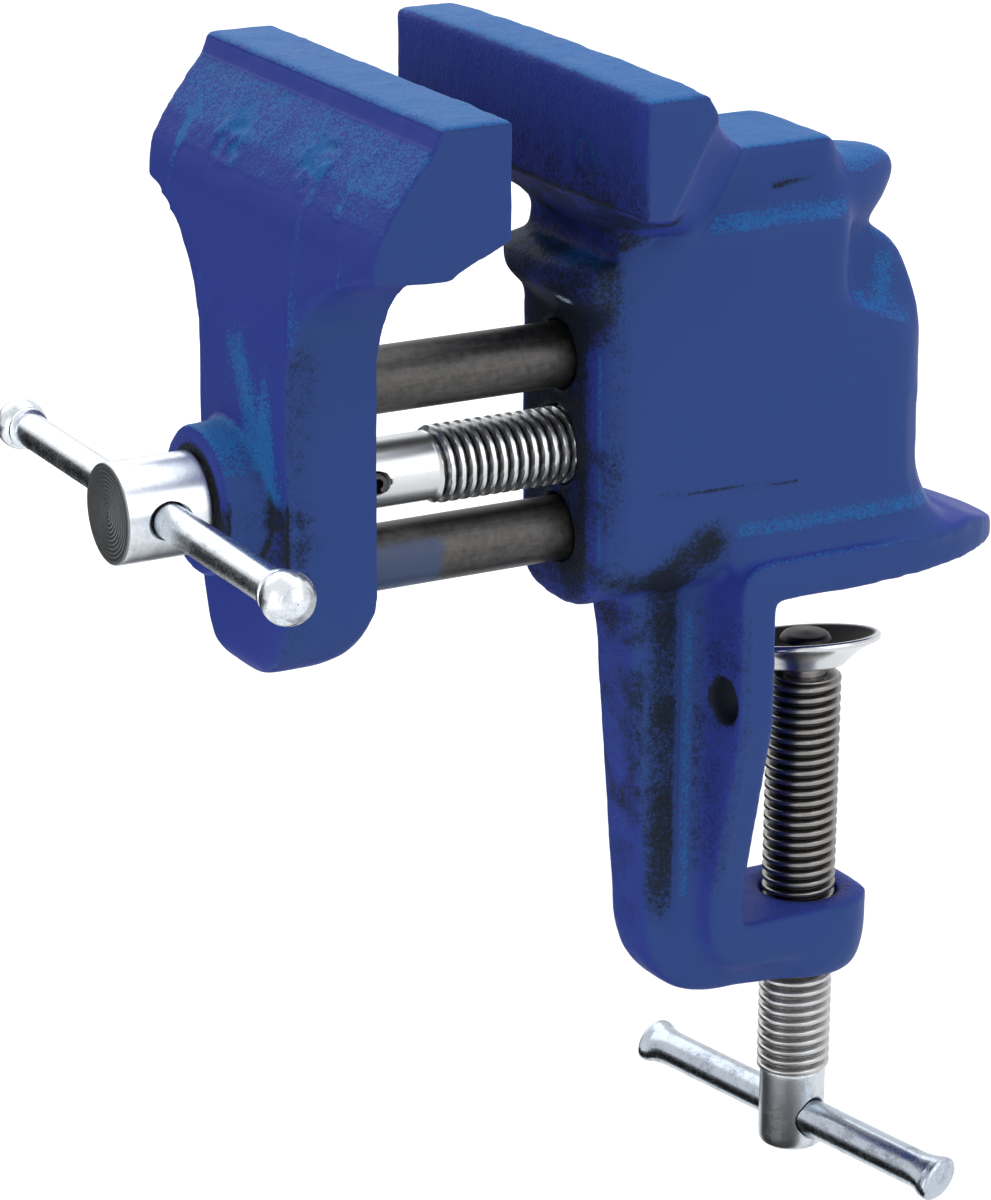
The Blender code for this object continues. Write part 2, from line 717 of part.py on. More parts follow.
def rear_block(cutters):
    """The full-width rear of the body, below the hip, with a sloped round shoulder."""
    top = JAW_TOP - SHOULDER_BELOW_TOP
    foot = JAW_TOP - HIP_FOOT_BELOW_TOP
    root_y = BLOCK_REAR - ANVIL_CORNER
    side = [(root_y, OVERRUN / 4), (root_y, top), (BLOCK_REAR, top)]
    for out, up in SHOULDER_SHARES:
        side.append((BLOCK_REAR + (BODY_REAR - BLOCK_REAR) * out, foot + (top - foot) * up))
    side.append((BODY_REAR, OVERRUN / 4))
    half = BODY_WIDTH / 2
    block = plate("rear_block", side, "X", -half - OVERRUN, half + OVERRUN, cutters)
    combine(block, rear_plan("rear_block_plan", -OVERRUN, top + OVERRUN, cutters), "INTERSECT")
    profile = [(root_y - OVERRUN, -OVERRUN), (root_y - OVERRUN, top + HIP_WIDTH)]
    profile += [(rear_side()[0][0], top + HIP_WIDTH)] + rear_side() + [(BODY_REAR, -OVERRUN)]
    span = (-half - OVERRUN, half + OVERRUN)
    combine(block, plate("rear_block_profile", profile, "X", *span, cutters), "INTERSECT")
    return block


def table(cutters):
    """The plate on the bench: half an ellipse in plan, thinner at its tip."""
    half = TABLE_HALF_WIDTH
    front_y = FLANGE_FRONT + FRAME_OUTER_CORNER + RIDGE_SIZE
    plan_half = [(0, front_y), (half, front_y)]
    reach = TABLE_REACH - TABLE_TAPER_FROM
    plan_half += arc((0, TABLE_TAPER_FROM), (half, reach), 0, QUARTER, CURVE_STEPS * 2)
    wing = plate("table", mirrored(plan_half), "Z", 0, TABLE_THICKNESS + OVERRUN, cutters)
    side = [
        (FLANGE_FRONT - OVERRUN, -OVERRUN),
        (TABLE_REACH + OVERRUN, -OVERRUN),
        (TABLE_REACH + OVERRUN, TABLE_TIP_THICKNESS - OVERRUN),
        (TABLE_REACH - OVERRUN / 2, TABLE_TIP_THICKNESS),
        (TABLE_REACH - TABLE_TIP_SLOPE, TABLE_THICKNESS),
        (FLANGE_FRONT - OVERRUN, TABLE_THICKNESS),
    ]
    combine(wing, plate("table_side", side, "X", -half - OVERRUN, half + OVERRUN, cutters), "INTERSECT")
    return wing


def table_fillet(cutters):
    """The cove between the body and the table, as rings that spread from the body's outline."""
    half = BODY_WIDTH / 2
    rings = []
    for i in range(CURVE_STEPS + 1):
        angle = QUARTER * i / CURVE_STEPS
        spread = 1 - math.sin(angle)
        z = TABLE_THICKNESS - OVERRUN / 2 + (TABLE_FILLET_HEIGHT + OVERRUN / 2) * (1 - math.cos(angle))
        wide = half - WELD + TABLE_FILLET_SIDE * spread
        rear = BODY_REAR - WELD + TABLE_FILLET_REAR * spread
        outline = rounded([
            ((half - WELD, FLANGE_FRONT), 0),
            ((wide, FLANGE_FRONT + TABLE_FILLET_TAPER), 0),
            ((wide, rear), BODY_REAR_CORNER),
            ((-wide, rear), BODY_REAR_CORNER),
            ((-wide, FLANGE_FRONT + TABLE_FILLET_TAPER), 0),
            ((WELD - half, FLANGE_FRONT), 0),
        ])
        rings.append([(x, y, z) for x, y in outline])
    return loft("table_fillet", rings, cutters)


def frame_plate(cutters):
    """Flange and arm of the C-frame: an L in side view, drawn in towards the arm in front view."""
    half = TABLE_HALF_WIDTH - FLANGE_INSET
    arm_half = ARM_WIDTH / 2
    flange_top = TABLE_THICKNESS - FLANGE_BELOW_TABLE_TOP
    side = rounded([
        ((FLANGE_FRONT, flange_top), FRAME_OUTER_CORNER),
        ((FLANGE_FRONT, ARM_BOTTOM), ARM_CORNER),
        ((arm_half, ARM_BOTTOM), 0),
        ((arm_half, ARM_TOP), ARM_TOP_ROUND),
        ((-THROAT_DEPTH, ARM_TOP), 0),
        ((-THROAT_DEPTH, flange_top), 0),
    ])
    body = plate("frame_plate", side, "X", -half - OVERRUN, half + OVERRUN, cutters)
    front = mirrored([
        (0, TABLE_THICKNESS + OVERRUN),
        (half, TABLE_THICKNESS + OVERRUN),
        (half, FLANGE_TAPER_TOP),
        (arm_half, FLANGE_TAPER_BOTTOM),
        (arm_half, ARM_BOTTOM - OVERRUN),
        (0, ARM_BOTTOM - OVERRUN),
    ])
    span = (FLANGE_FRONT - OVERRUN, arm_half + OVERRUN)
    combine(body, plate("frame_front", front, "Y", *span, cutters), "INTERSECT")
    plan = [(half + OVERRUN, FLANGE_FRONT - OVERRUN), (half + OVERRUN, -THROAT_DEPTH),
            (arm_half, -THROAT_DEPTH + OVERRUN)]
    plan += arc((0, 0), (arm_half, arm_half), 0, HALF, CURVE_STEPS * 2)
    plan += [(-arm_half, -THROAT_DEPTH + OVERRUN), (-half - OVERRUN, -THROAT_DEPTH),
             (-half - OVERRUN, FLANGE_FRONT - OVERRUN)]
    low, high = ARM_BOTTOM - OVERRUN, TABLE_THICKNESS + OVERRUN
    combine(body, plate("frame_plan", plan, "Z", low, high, cutters), "INTERSECT")
    return body


def web_ring(outer, inner):
    """A cross-section of the web in the side view, from its round outer edges to the frame behind it."""
    depth = math.dist(outer, inner)
    way = [(b - a) / depth for a, b in zip(outer, inner)]
    shrink = min(1, depth / (WEB_EDGE + WEB_FILLET))
    edge, fillet = WEB_EDGE * shrink, WEB_FILLET * shrink
    half = WEB_WIDTH / 2
    side = arc((half - WEB_EDGE, edge), (WEB_EDGE, edge), -QUARTER, 0)
    side += reversed(arc((half + WEB_FILLET, depth - fillet), (WEB_FILLET, fillet), QUARTER, HALF))
    side.append((half + WEB_FILLET, depth + OVERRUN))
    side += [(-x, inward) for x, inward in reversed(side)]
    return [(x, outer[0] + way[0] * inward, outer[1] + way[1] * inward) for x, inward in side]


def frame_web(cutters):
    """The rib round the outside of the C-frame, filleted into the flange and the arm."""
    front_top = -THROAT_DEPTH - WEB_FRONT_TOP
    front_bottom = -THROAT_DEPTH - WEB_FRONT_BOTTOM
    rings = [web_ring((front_top, BODY_BOTTOM_CORNER), (FLANGE_FRONT, BODY_BOTTOM_CORNER))]
    outer_centre = (front_bottom + WEB_CORNER, WEB_BOTTOM + WEB_CORNER)
    inner_centre = (FLANGE_FRONT + ARM_CORNER, ARM_BOTTOM + ARM_CORNER)
    outer = arc(outer_centre, (WEB_CORNER, WEB_CORNER), HALF, HALF + QUARTER, CURVE_STEPS)
    inner = arc(inner_centre, (ARM_CORNER, ARM_CORNER), HALF, HALF + QUARTER, CURVE_STEPS)
    rings += [web_ring(a, b) for a, b in zip(outer, inner)]
    rings.append(web_ring((0, WEB_BOTTOM_AT_FOOT), (0, ARM_BOTTOM)))
    return loft("frame_web", rings, cutters)


def arm_foot(cutters):
    """The boss under the end of the arm, round the clamp screw."""
    root, foot = ARM_WIDTH / 2 - CLEARANCE, FOOT_DIAMETER / 2
    profile = [(0, ARM_BOTTOM + OVERRUN), (root, ARM_BOTTOM + OVERRUN), (root, ARM_BOTTOM - FOOT_STRAIGHT)]
    profile += [(foot, FOOT_BOTTOM), (0, FOOT_BOTTOM)]
    return turned("arm_foot", profile, TURN_STEPS, cutters, (0, 0, 0))


def body_bores(body, cutters):
    front, rear = BODY_FRONT - LIP_REACH - OVERRUN, BODY_REAR + OVERRUN
    bores = {
        "upper_bar_bore": (GUIDE_BAR_DIAMETER, UPPER_BAR_HEIGHT),
        "spindle_bore": (SPINDLE_THREAD_DIAMETER, SPINDLE_HEIGHT),
        "lower_bar_bore": (GUIDE_BAR_DIAMETER, LOWER_BAR_HEIGHT),
    }
    for name, (diameter, height) in bores.items():
        bore = diameter + 2 * CLEARANCE
        combine(body, rod(name, bore, front, rear, "Y", (0, 0, height), cutters), "DIFFERENCE")
    bore = CLAMP_THREAD_DIAMETER + 2 * CLEARANCE
    low, high = WEB_BOTTOM_AT_FOOT - OVERRUN, ARM_TOP + OVERRUN
    combine(body, rod("clamp_bore", bore, low, high, "Z", (0, 0, 0), cutters), "DIFFERENCE")
    for side, name in ((1, "fixing_hole_near"), (-1, "fixing_hole_far")):
        place = (side * FIXING_HOLE_SPACING / 2, 0, -FIXING_HOLE_BELOW_TABLE)
        low, high = FLANGE_FRONT - WEB_FILLET, -THROAT_DEPTH + OVERRUN
        hole = rod(name, FIXING_HOLE_DIAMETER, low, high, "Y", place, cutters, SMALL_TURN_STEPS)
        combine(body, hole, "DIFFERENCE")


def vise_body(parts, cutters, material):
    """The one casting that carries everything: fixed jaw, anvil, bored block, table and C-frame."""
    body = body_trunk(cutters)
    cutters.objects.unlink(body)
    parts.objects.link(body)
    for build in (lip, anvil, beak, rear_block, hip, jaw_wings, table, table_fillet, frame_plate,
                  frame_web, arm_foot):
        combine(body, build(cutters), "UNION")
    body_bores(body, cutters)
    return finish(body, material)


# Moving jaw

def jaw_head(cutters):
    """The wide head, with the side view that shows on its ends."""
    half = JAW_WIDTH / 2
    front = MOVING_GRIP_Y - MOVING_JAW_DEPTH
    side = [(MOVING_GRIP_Y, JAW_TOP)]
    for out, down in HEAD_FRONT_SHARES:
        side.append((front - HEAD_BULGE * out, JAW_TOP - HEAD_FOOT_BELOW_TOP * down))
    side += [
        (MOVING_GRIP_Y - HEAD_FOOT_REAR, JAW_TOP - HEAD_FOOT_BELOW_TOP),
        (MOVING_GRIP_Y - RIDGE_SIZE, GRIP_FOOT - RIDGE_SIZE / 2),
        (MOVING_GRIP_Y, GRIP_FOOT),
    ]
    return plate("moving_jaw", side, "X", -half, half, cutters)


def jaw_neck(cutters):
    """Neck and column under the head: a T in front view, with round flanks and a round foot."""
    half = COLUMN_WIDTH / 2
    head_half = JAW_WIDTH / 2
    foot = JAW_TOP - HEAD_FOOT_BELOW_TOP
    front_half = [(0, foot + OVERRUN), (head_half, foot + OVERRUN), (head_half, foot)]
    front_half += arc((head_half, foot - NECK_HEIGHT), (head_half - half, NECK_HEIGHT), QUARTER, HALF,
                      CURVE_STEPS + 2)[1:]
    corner = (half - COLUMN_BOTTOM_CORNER, COLUMN_BOTTOM + COLUMN_BOTTOM_CORNER)
    radii = (COLUMN_BOTTOM_CORNER, COLUMN_BOTTOM_CORNER)
    front_half += arc(corner, radii, 0, -QUARTER, CURVE_STEPS)
    front_half.append((0, COLUMN_BOTTOM))
    front_y = COLUMN_FRONT_Y - COLUMN_CROWN
    neck = plate("jaw_neck", mirrored(front_half), "Y", front_y, COLUMN_REAR_Y, cutters)

    head_front = MOVING_GRIP_Y - MOVING_JAW_DEPTH - HEAD_BULGE
    side = rounded([
        ((COLUMN_REAR_Y, foot + OVERRUN), 0),
        ((head_front, foot + OVERRUN), 0),
        ((front_y, foot - NECK_HEIGHT * 3 / 4), NECK_HEIGHT / 2),
        ((front_y, COLUMN_BOTTOM), COLUMN_EDGE),
        ((COLUMN_REAR_Y, COLUMN_BOTTOM), COLUMN_HEEL_CORNER),
    ])
    span = (-head_half - OVERRUN, head_half + OVERRUN)
    combine(neck, plate("neck_side", side, "X", *span, cutters), "INTERSECT")

    plan_half = [(0, COLUMN_REAR_Y + OVERRUN), (head_half + OVERRUN, COLUMN_REAR_Y + OVERRUN)]
    plan_half.append((head_half + OVERRUN, head_front))
    for i in range(ARC_STEPS + 1):
        share = 1 - i / ARC_STEPS
        plan_half.append((half * share, COLUMN_FRONT_Y - COLUMN_CROWN * (1 - share * share)))
    low, high = COLUMN_BOTTOM - OVERRUN, foot + OVERRUN * 2
    combine(neck, plate("neck_plan", mirrored(plan_half), "Z", low, high, cutters), "INTERSECT")
    return neck


def spindle_boss(cutters):
    """The flared boss that the spindle head bears on."""
    rim = SPINDLE_BOSS_DIAMETER / 2
    root = SPINDLE_BOSS_ROOT_DIAMETER / 2
    flare = SPINDLE_BOSS_PROUD + COLUMN_CROWN - SPINDLE_BOSS_RIM
    profile = [(0, 0), (rim, 0)]
    curve = arc((root, -SPINDLE_BOSS_RIM), (root - rim, flare), HALF, HALF + QUARTER, ARC_STEPS)
    profile += curve
    profile += [(root, -SPINDLE_BOSS_RIM - flare - OVERRUN), (0, -SPINDLE_BOSS_RIM - flare - OVERRUN)]
    place = (0, BOSS_FACE_Y, SPINDLE_HEIGHT)
    return turned("spindle_boss", profile, TURN_STEPS, cutters, place, (QUARTER, 0, 0))


def jaw_bores(jaw, cutters):
    bore = SPINDLE_SHANK_DIAMETER + 2 * CLEARANCE
    low, high = BOSS_FACE_Y - OVERRUN, COLUMN_REAR_Y + OVERRUN
    place = (0, 0, SPINDLE_HEIGHT)
    combine(jaw, rod("shank_bore", bore, low, high, "Y", place, cutters), "DIFFERENCE")
    socket = GUIDE_BAR_DIAMETER + 2 * CLEARANCE
    for name, height in (("upper_socket", UPPER_BAR_HEIGHT), ("lower_socket", LOWER_BAR_HEIGHT)):
        low = COLUMN_REAR_Y - GUIDE_BAR_SOCKET
        combine(jaw, rod(name, socket, low, high, "Y", (0, 0, height), cutters), "DIFFERENCE")


def moving_jaw(parts, cutters, material, parent):
    jaw = jaw_head(cutters)
    cutters.objects.unlink(jaw)
    parts.objects.link(jaw)
    combine(jaw, jaw_neck(cutters), "UNION")
    combine(jaw, spindle_boss(cutters), "UNION")
    jaw_bores(jaw, cutters)
    return finish(jaw, material, parent)


def guide_bar(name, height, parts, material, parent):
    """A plain round bar, chamfered at both ends, from its socket in the jaw into the body."""
    radius = GUIDE_BAR_DIAMETER / 2
    front = COLUMN_REAR_Y - GUIDE_BAR_SOCKET + CLEARANCE
    length = BAR_END_Y - front
    profile = [
        (0, length),
        (radius - GUIDE_BAR_CHAMFER, length),
        (radius, length - GUIDE_BAR_CHAMFER),
        (radius, GUIDE_BAR_CHAMFER),
        (radius - GUIDE_BAR_CHAMFER, 0),
        (0, 0),
    ]
    bar = turned(name, profile, TURN_STEPS, parts, (0, front, height), (-QUARTER, 0, 0))
    return finish(bar, material, parent)


# Main spindle and its handle

def main_spindle(parts, cutters, material, parent):
    """Head, cross-drilled shank and threaded length, along +Y from the front of the head."""
    head = SPINDLE_HEAD_DIAMETER / 2
    shank = SPINDLE_SHANK_DIAMETER / 2
    thread = SPINDLE_THREAD_DIAMETER / 2
    length = BAR_END_Y - HEAD_FRONT_Y
    thread_start = THREAD_START_Y - HEAD_FRONT_Y
    profile = [
        (0, length),
        (thread - THREAD_CHAMFER, length),
        (thread, length - THREAD_CHAMFER),
        (thread, thread_start),
        (shank, thread_start - (thread - shank)),
        (shank, SPINDLE_HEAD_LENGTH),
        (head - SPINDLE_HEAD_CHAMFER, SPINDLE_HEAD_LENGTH),
        (head, SPINDLE_HEAD_LENGTH - SPINDLE_HEAD_CHAMFER),
        (head, SPINDLE_HEAD_CHAMFER),
        (head - SPINDLE_HEAD_CHAMFER, 0),
        (0, 0),
    ]
    place = (0, HEAD_FRONT_Y, SPINDLE_HEIGHT)
    spindle = turned("main_spindle", profile, TURN_STEPS, parts, place, (-QUARTER, 0, 0))
    bar_hole = TOMMY_DIAMETER + 2 * CLEARANCE
    reach = head + OVERRUN
    hole = rod("tommy_hole", bar_hole, -reach, reach, "X", (0, TOMMY_Y, SPINDLE_HEIGHT), cutters,
               SMALL_TURN_STEPS)
    combine(spindle, hole, "DIFFERENCE")
    pin_hole = ROLL_PIN_DIAMETER + 2 * CLEARANCE
    place = (0, ROLL_PIN_Y, SPINDLE_HEIGHT)
    hole = rod("pin_hole", pin_hole, -reach, reach, "X", place, cutters, SMALL_TURN_STEPS)
    combine(spindle, hole, "DIFFERENCE")
    return finish(spindle, material, parent)


def thrust_washer(parts, material, parent):
    """The thick washer that fills the space between the moving jaw and the spring pin."""
    outer = WASHER_DIAMETER / 2
    inner = SPINDLE_SHANK_DIAMETER / 2 + CLEARANCE
    thickness = ROLL_PIN_BEHIND_COLUMN - ROLL_PIN_DIAMETER / 2 - 3 * CLEARANCE
    edge = CLEARANCE
    profile = [
        (outer - edge, thickness),
        (outer, thickness - edge),
        (outer, edge),
        (outer - edge, 0),
        (inner, 0),
        (inner, thickness),
    ]
    place = (0, COLUMN_REAR_Y + CLEARANCE, SPINDLE_HEIGHT)
    washer = turned("thrust_washer", profile, TURN_STEPS, parts, place, (-QUARTER, 0, 0))
    return finish(washer, material, parent)


def roll_pin(parts, cutters, material, parent):
    """A slit spring pin through the shank, a touch proud of it at both ends."""
    outer = ROLL_PIN_DIAMETER / 2
    inner = outer - ROLL_PIN_WALL
    half = ROLL_PIN_LENGTH / 2
    profile = [(outer, half), (outer, -half), (inner, -half), (inner, half)]
    place = (0, ROLL_PIN_Y, SPINDLE_HEIGHT)
    pin = turned("spindle_roll_pin", profile, SMALL_TURN_STEPS, parts, place, (0, QUARTER, 0))
    slit_half = ROLL_PIN_SLIT / 2
    slit = [
        (ROLL_PIN_Y - slit_half, SPINDLE_HEIGHT - outer - OVERRUN),
        (ROLL_PIN_Y + slit_half, SPINDLE_HEIGHT - outer - OVERRUN),
        (ROLL_PIN_Y + slit_half, SPINDLE_HEIGHT),
        (ROLL_PIN_Y - slit_half, SPINDLE_HEIGHT),
    ]
    combine(pin, plate("pin_slit", slit, "X", -half - OVERRUN, half + OVERRUN, cutters), "DIFFERENCE")
    return finish(pin, material, parent)


def tommy_bar(parts, material, parent):
    radius = TOMMY_DIAMETER / 2
    half = TOMMY_LENGTH / 2
    profile = [(0, half), (radius, half), (radius, -half), (0, -half)]
    place = (TOMMY_OFFSET, TOMMY_Y, SPINDLE_HEIGHT)
    bar = turned("main_tommy_bar", profile, SMALL_TURN_STEPS, parts, place, (0, QUARTER, 0))
    return finish(bar, material, parent)


def knob(name, side, parts, material, parent):
    """A ball bored for the bar, flat at its outer end, with a short collar at its inner end."""
    ball = KNOB_DIAMETER / 2
    bore = TOMMY_DIAMETER / 2 + CLEARANCE
    flat = math.acos(KNOB_OUTER / ball)
    foot = math.acos(-KNOB_INNER / ball)
    profile = [(bore, KNOB_OUTER)]
    for i in range(CURVE_STEPS + 3):
        angle = flat + (foot - flat) * i / (CURVE_STEPS + 2)
        profile.append((max(ball * math.sin(angle), bore + KNOB_COLLAR / 3), ball * math.cos(angle)))
    profile += [(bore + KNOB_COLLAR / 3, -KNOB_INNER - KNOB_COLLAR), (bore, -KNOB_INNER - KNOB_COLLAR)]
    centre = TOMMY_LENGTH / 2 - KNOB_OUTER
    place = (TOMMY_OFFSET + side * centre, TOMMY_Y, SPINDLE_HEIGHT)
    ball_end = turned(name, profile, SMALL_TURN_STEPS, parts, place, (0, side * QUARTER, 0))
    return finish(ball_end, material, parent)


# Clamp screw, pad and bar

def clamp_screw(parts, cutters, material, parent):
    """Peened tip, pad neck, threaded length and cross-drilled head, from the top down."""
    thread = CLAMP_THREAD_DIAMETER / 2
    neck = PAD_NECK_DIAMETER / 2
    tip = PAD_TIP_DIAMETER / 2
    head = CLAMP_HEAD_DIAMETER / 2
    neck_top = CLAMP_THREAD_TOP + PAD_NECK_LENGTH
    foot = CLAMP_HEAD_TOP - CLAMP_HEAD_LENGTH
    profile = [
        (0, neck_top + PAD_TIP_HEIGHT),
        (tip * 2 / 3, neck_top + PAD_TIP_HEIGHT),
        (tip, neck_top + PAD_TIP_HEIGHT / 3),
        (tip, neck_top),
        (neck, neck_top),
        (neck, CLAMP_THREAD_TOP),
        (thread - THREAD_CHAMFER, CLAMP_THREAD_TOP),
        (thread, CLAMP_THREAD_TOP - THREAD_CHAMFER),
        (thread, CLAMP_HEAD_TOP),
        (head, CLAMP_HEAD_TOP - (thread - head)),
        (head, foot + CLAMP_HEAD_CHAMFER),
        (head - CLAMP_HEAD_CHAMFER, foot),
        (0, foot),
    ]
    screw = turned("clamp_screw", profile, TURN_STEPS, parts, (0, 0, 0))
    reach = thread + OVERRUN
    hole = rod("clamp_bar_hole", CLAMP_BAR_DIAMETER + 2 * CLEARANCE, -reach, reach, "X",
               (0, 0, CLAMP_BAR_Z), cutters, SMALL_TURN_STEPS)
    hole.rotation_euler = Euler((0, QUARTER, CLAMP_BAR_BEARING))
    combine(screw, hole, "DIFFERENCE")
    return finish(screw, material, parent)


def swivel_pad(parts, material, parent):
    """A dished disc on a cone, bored for the neck of the screw, leaning as it hangs."""
    rim = PAD_DIAMETER / 2
    floor = PAD_FLOOR_DIAMETER / 2
    foot = PAD_FOOT_DIAMETER / 2
    hole = PAD_HOLE_DIAMETER / 2
    rim_foot = PAD_DISH_DEPTH - PAD_RIM_THICKNESS
    profile = [
        (hole, 0),
        (floor, 0),
        (rim - PAD_LIP_WIDTH, PAD_DISH_DEPTH),
        (rim, PAD_DISH_DEPTH),
        (rim, rim_foot),
        (foot + (rim - foot) / 2, 0),
        (foot, -PAD_FLOOR_THICKNESS),
        (hole, -PAD_FLOOR_THICKNESS),
    ]
    place = (0, 0, CLAMP_THREAD_TOP + (PAD_NECK_LENGTH + PAD_FLOOR_THICKNESS) / 2)
    lean = Euler((PAD_LEAN_TO_NEAR, PAD_LEAN_TO_REAR, 0)).to_matrix()
    bearing = Matrix.Rotation(PAD_LEAN_BEARING, 3, "Z")
    turn = (bearing @ lean @ bearing.transposed()).to_euler()
    pad = turned("swivel_pad", profile, TURN_STEPS, parts, place, turn)
    return finish(pad, material, parent)


def clamp_bar(parts, material, parent):
    """A round bar whose ends are swaged wide and flat, so that it cannot drop out of the head."""
    radius = CLAMP_BAR_DIAMETER / 2
    half = CLAMP_BAR_LENGTH / 2
    straight = half - SWAGE_LENGTH
    stations = []
    for share in SWAGE_SHARES:
        swell = math.sin(share * QUARTER) if share < 1 else SWAGE_END_SHARE
        wide = radius + (SWAGE_WIDTH / 2 - radius) * swell
        thick = radius + (SWAGE_THICKNESS / 2 - radius) * swell
        stations.append((straight + SWAGE_LENGTH * share, wide, thick))
    stations = [(-x, wide, thick) for x, wide, thick in reversed(stations)] + stations
    rings = []
    for x, wide, thick in stations:
        rings.append([(x, a, b) for a, b in superellipse(wide, thick, 2, SECTION_POINTS)])
    bar = loft("clamp_tommy_bar", rings, parts)
    bar.location = (0, 0, CLAMP_BAR_Z)
    bar.rotation_euler = (SWAGE_ROLL, 0, CLAMP_BAR_BEARING)
    return finish(bar, material, parent)


def main():
    clear_scene()
    parts = new_collection("clamp_on_bench_vise")
    cutters = new_collection("cutters")

    blue = metal("blue_enamel", (0.035, 0.065, 0.32), 0.38, 0.0, 0.3)
    bar_steel = metal("dark_bar_steel", (0.12, 0.11, 0.10), 0.42, 0.9)
    zinc = metal("zinc_plated_steel", (0.62, 0.66, 0.70), 0.28, 1.0)
    screw_steel = metal("oiled_screw_steel", (0.28, 0.27, 0.26), 0.34, 1.0)
    pad_steel = metal("bright_pad_steel", (0.48, 0.48, 0.50), 0.26, 1.0)

    slide = axis_empty("jaw_slide_axis", (0, MOVING_GRIP_Y, SPINDLE_HEIGHT), parts)
    turn = axis_empty("spindle_axis", (0, HEAD_FRONT_Y, SPINDLE_HEIGHT), parts, slide)
    handle = axis_empty("tommy_axis", (0, TOMMY_Y, SPINDLE_HEIGHT), parts, turn)
    clamp = axis_empty("clamp_axis", (0, 0, CLAMP_THREAD_TOP), parts)
    clamp_handle = axis_empty("clamp_bar_axis", (0, 0, CLAMP_BAR_Z), parts, clamp)
    bpy.context.view_layer.update()

    vise_body(parts, cutters, blue)
    moving_jaw(parts, cutters, blue, slide)
    guide_bar("guide_bar_upper", UPPER_BAR_HEIGHT, parts, bar_steel, slide)
    guide_bar("guide_bar_lower", LOWER_BAR_HEIGHT, parts, bar_steel, slide)
    main_spindle(parts, cutters, zinc, turn)
    thrust_washer(parts, zinc, turn)
    roll_pin(parts, cutters, bar_steel, turn)
    tommy_bar(parts, zinc, handle)
    knob("tommy_knob_near", 1, parts, zinc, handle)
    knob("tommy_knob_far", -1, parts, zinc, handle)
    clamp_screw(parts, cutters, screw_steel, clamp)
    swivel_pad(parts, pad_steel, clamp)
    clamp_bar(parts, zinc, clamp_handle)


main()
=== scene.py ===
"""Looks of a clamp-on bench vise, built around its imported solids.

The two castings are grown from the skins of their solids, rounded as sand casting leaves them. Every
turned or threaded piece is a surface worked out with numpy. +Z is up, X runs along the jaws and -Y
points towards the handle of the spindle. All lengths here are in millimetres, and MM turns them into
Blender's metres where they meet a mesh, a shader or an object.
"""
import logging
import math
from abc import ABC, abstractmethod
from dataclasses import dataclass
from enum import Enum

import bmesh
import bpy
import numpy as np
from mathutils import Matrix, Vector


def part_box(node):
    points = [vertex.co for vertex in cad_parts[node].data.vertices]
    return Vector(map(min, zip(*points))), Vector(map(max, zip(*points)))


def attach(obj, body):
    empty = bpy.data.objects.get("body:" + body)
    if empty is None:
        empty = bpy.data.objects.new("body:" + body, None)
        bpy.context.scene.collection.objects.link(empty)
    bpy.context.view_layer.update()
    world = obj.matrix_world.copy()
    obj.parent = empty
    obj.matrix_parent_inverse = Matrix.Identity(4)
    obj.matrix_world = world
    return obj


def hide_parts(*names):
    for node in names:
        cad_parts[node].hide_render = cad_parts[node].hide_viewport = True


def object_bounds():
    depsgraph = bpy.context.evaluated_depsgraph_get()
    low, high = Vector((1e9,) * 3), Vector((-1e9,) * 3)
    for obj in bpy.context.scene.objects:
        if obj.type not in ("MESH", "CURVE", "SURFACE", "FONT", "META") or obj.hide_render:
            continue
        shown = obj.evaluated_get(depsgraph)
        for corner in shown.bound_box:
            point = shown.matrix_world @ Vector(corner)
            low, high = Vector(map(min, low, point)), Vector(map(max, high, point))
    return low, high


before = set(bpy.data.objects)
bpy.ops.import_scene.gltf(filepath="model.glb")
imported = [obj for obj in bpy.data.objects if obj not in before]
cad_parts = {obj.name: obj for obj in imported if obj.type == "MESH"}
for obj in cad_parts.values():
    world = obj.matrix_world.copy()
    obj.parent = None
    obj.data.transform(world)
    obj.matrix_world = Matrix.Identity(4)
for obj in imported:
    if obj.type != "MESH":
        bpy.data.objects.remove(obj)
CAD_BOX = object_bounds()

Array = np.ndarray
Colour = tuple[float, float, float]
Point = tuple[float, float, float]
Piece = bpy.types.Object
Socket = bpy.types.NodeSocket

LOG = logging.getLogger("vise")
MM = 0.001
TURN = 2 * math.pi
SHARP_ANGLE = math.radians(30)
WHITE = (1.0, 1.0, 1.0)

# Heights of the three bores, and where the clamp screw's bar lies as the photograph shows it
UPPER_BAR_HEIGHT = 38.5
SPINDLE_HEIGHT = 24.3
LOWER_BAR_HEIGHT = 11.2
CLAMP_BAR_HEIGHT = -96.3
CLAMP_BAR_BEARING = math.radians(11.2)


class Body(Enum):
    """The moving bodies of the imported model."""

    FRAME = "body"
    JAW = "jaw"
    SPINDLE = "spindle"
    HANDLE = "handle"
    PAD = "pad"
    CLAMP = "clamp"
    CLAMP_HANDLE = "clamp_handle"


class Slot(Enum):
    """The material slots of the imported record."""

    ENAMEL = "blue_enamel"
    DARK_BAR = "dark_bar_steel"
    ZINC = "zinc_plated_steel"
    OILED = "oiled_screw_steel"
    PAD = "bright_pad_steel"


class Axis(Enum):
    """The direction in which a turned piece runs, as the matrix that lays its own +Z there."""

    X = Matrix(((0, 0, 1), (1, 0, 0), (0, 1, 0)))
    Y = Matrix(((1, 0, 0), (0, 0, 1), (0, -1, 0)))
    Z = Matrix.Identity(3)


# Arrays and meshes


def ramp(values: Array | float, low: Array | float, high: Array | float) -> Array:
    """Smooth step: 0 at low, 1 at high and 3t^2 - 2t^3 between them, for low above or below high."""
    t = np.clip((np.asarray(values) - low) / (high - low), 0, 1)
    return t * t * (3 - 2 * t)


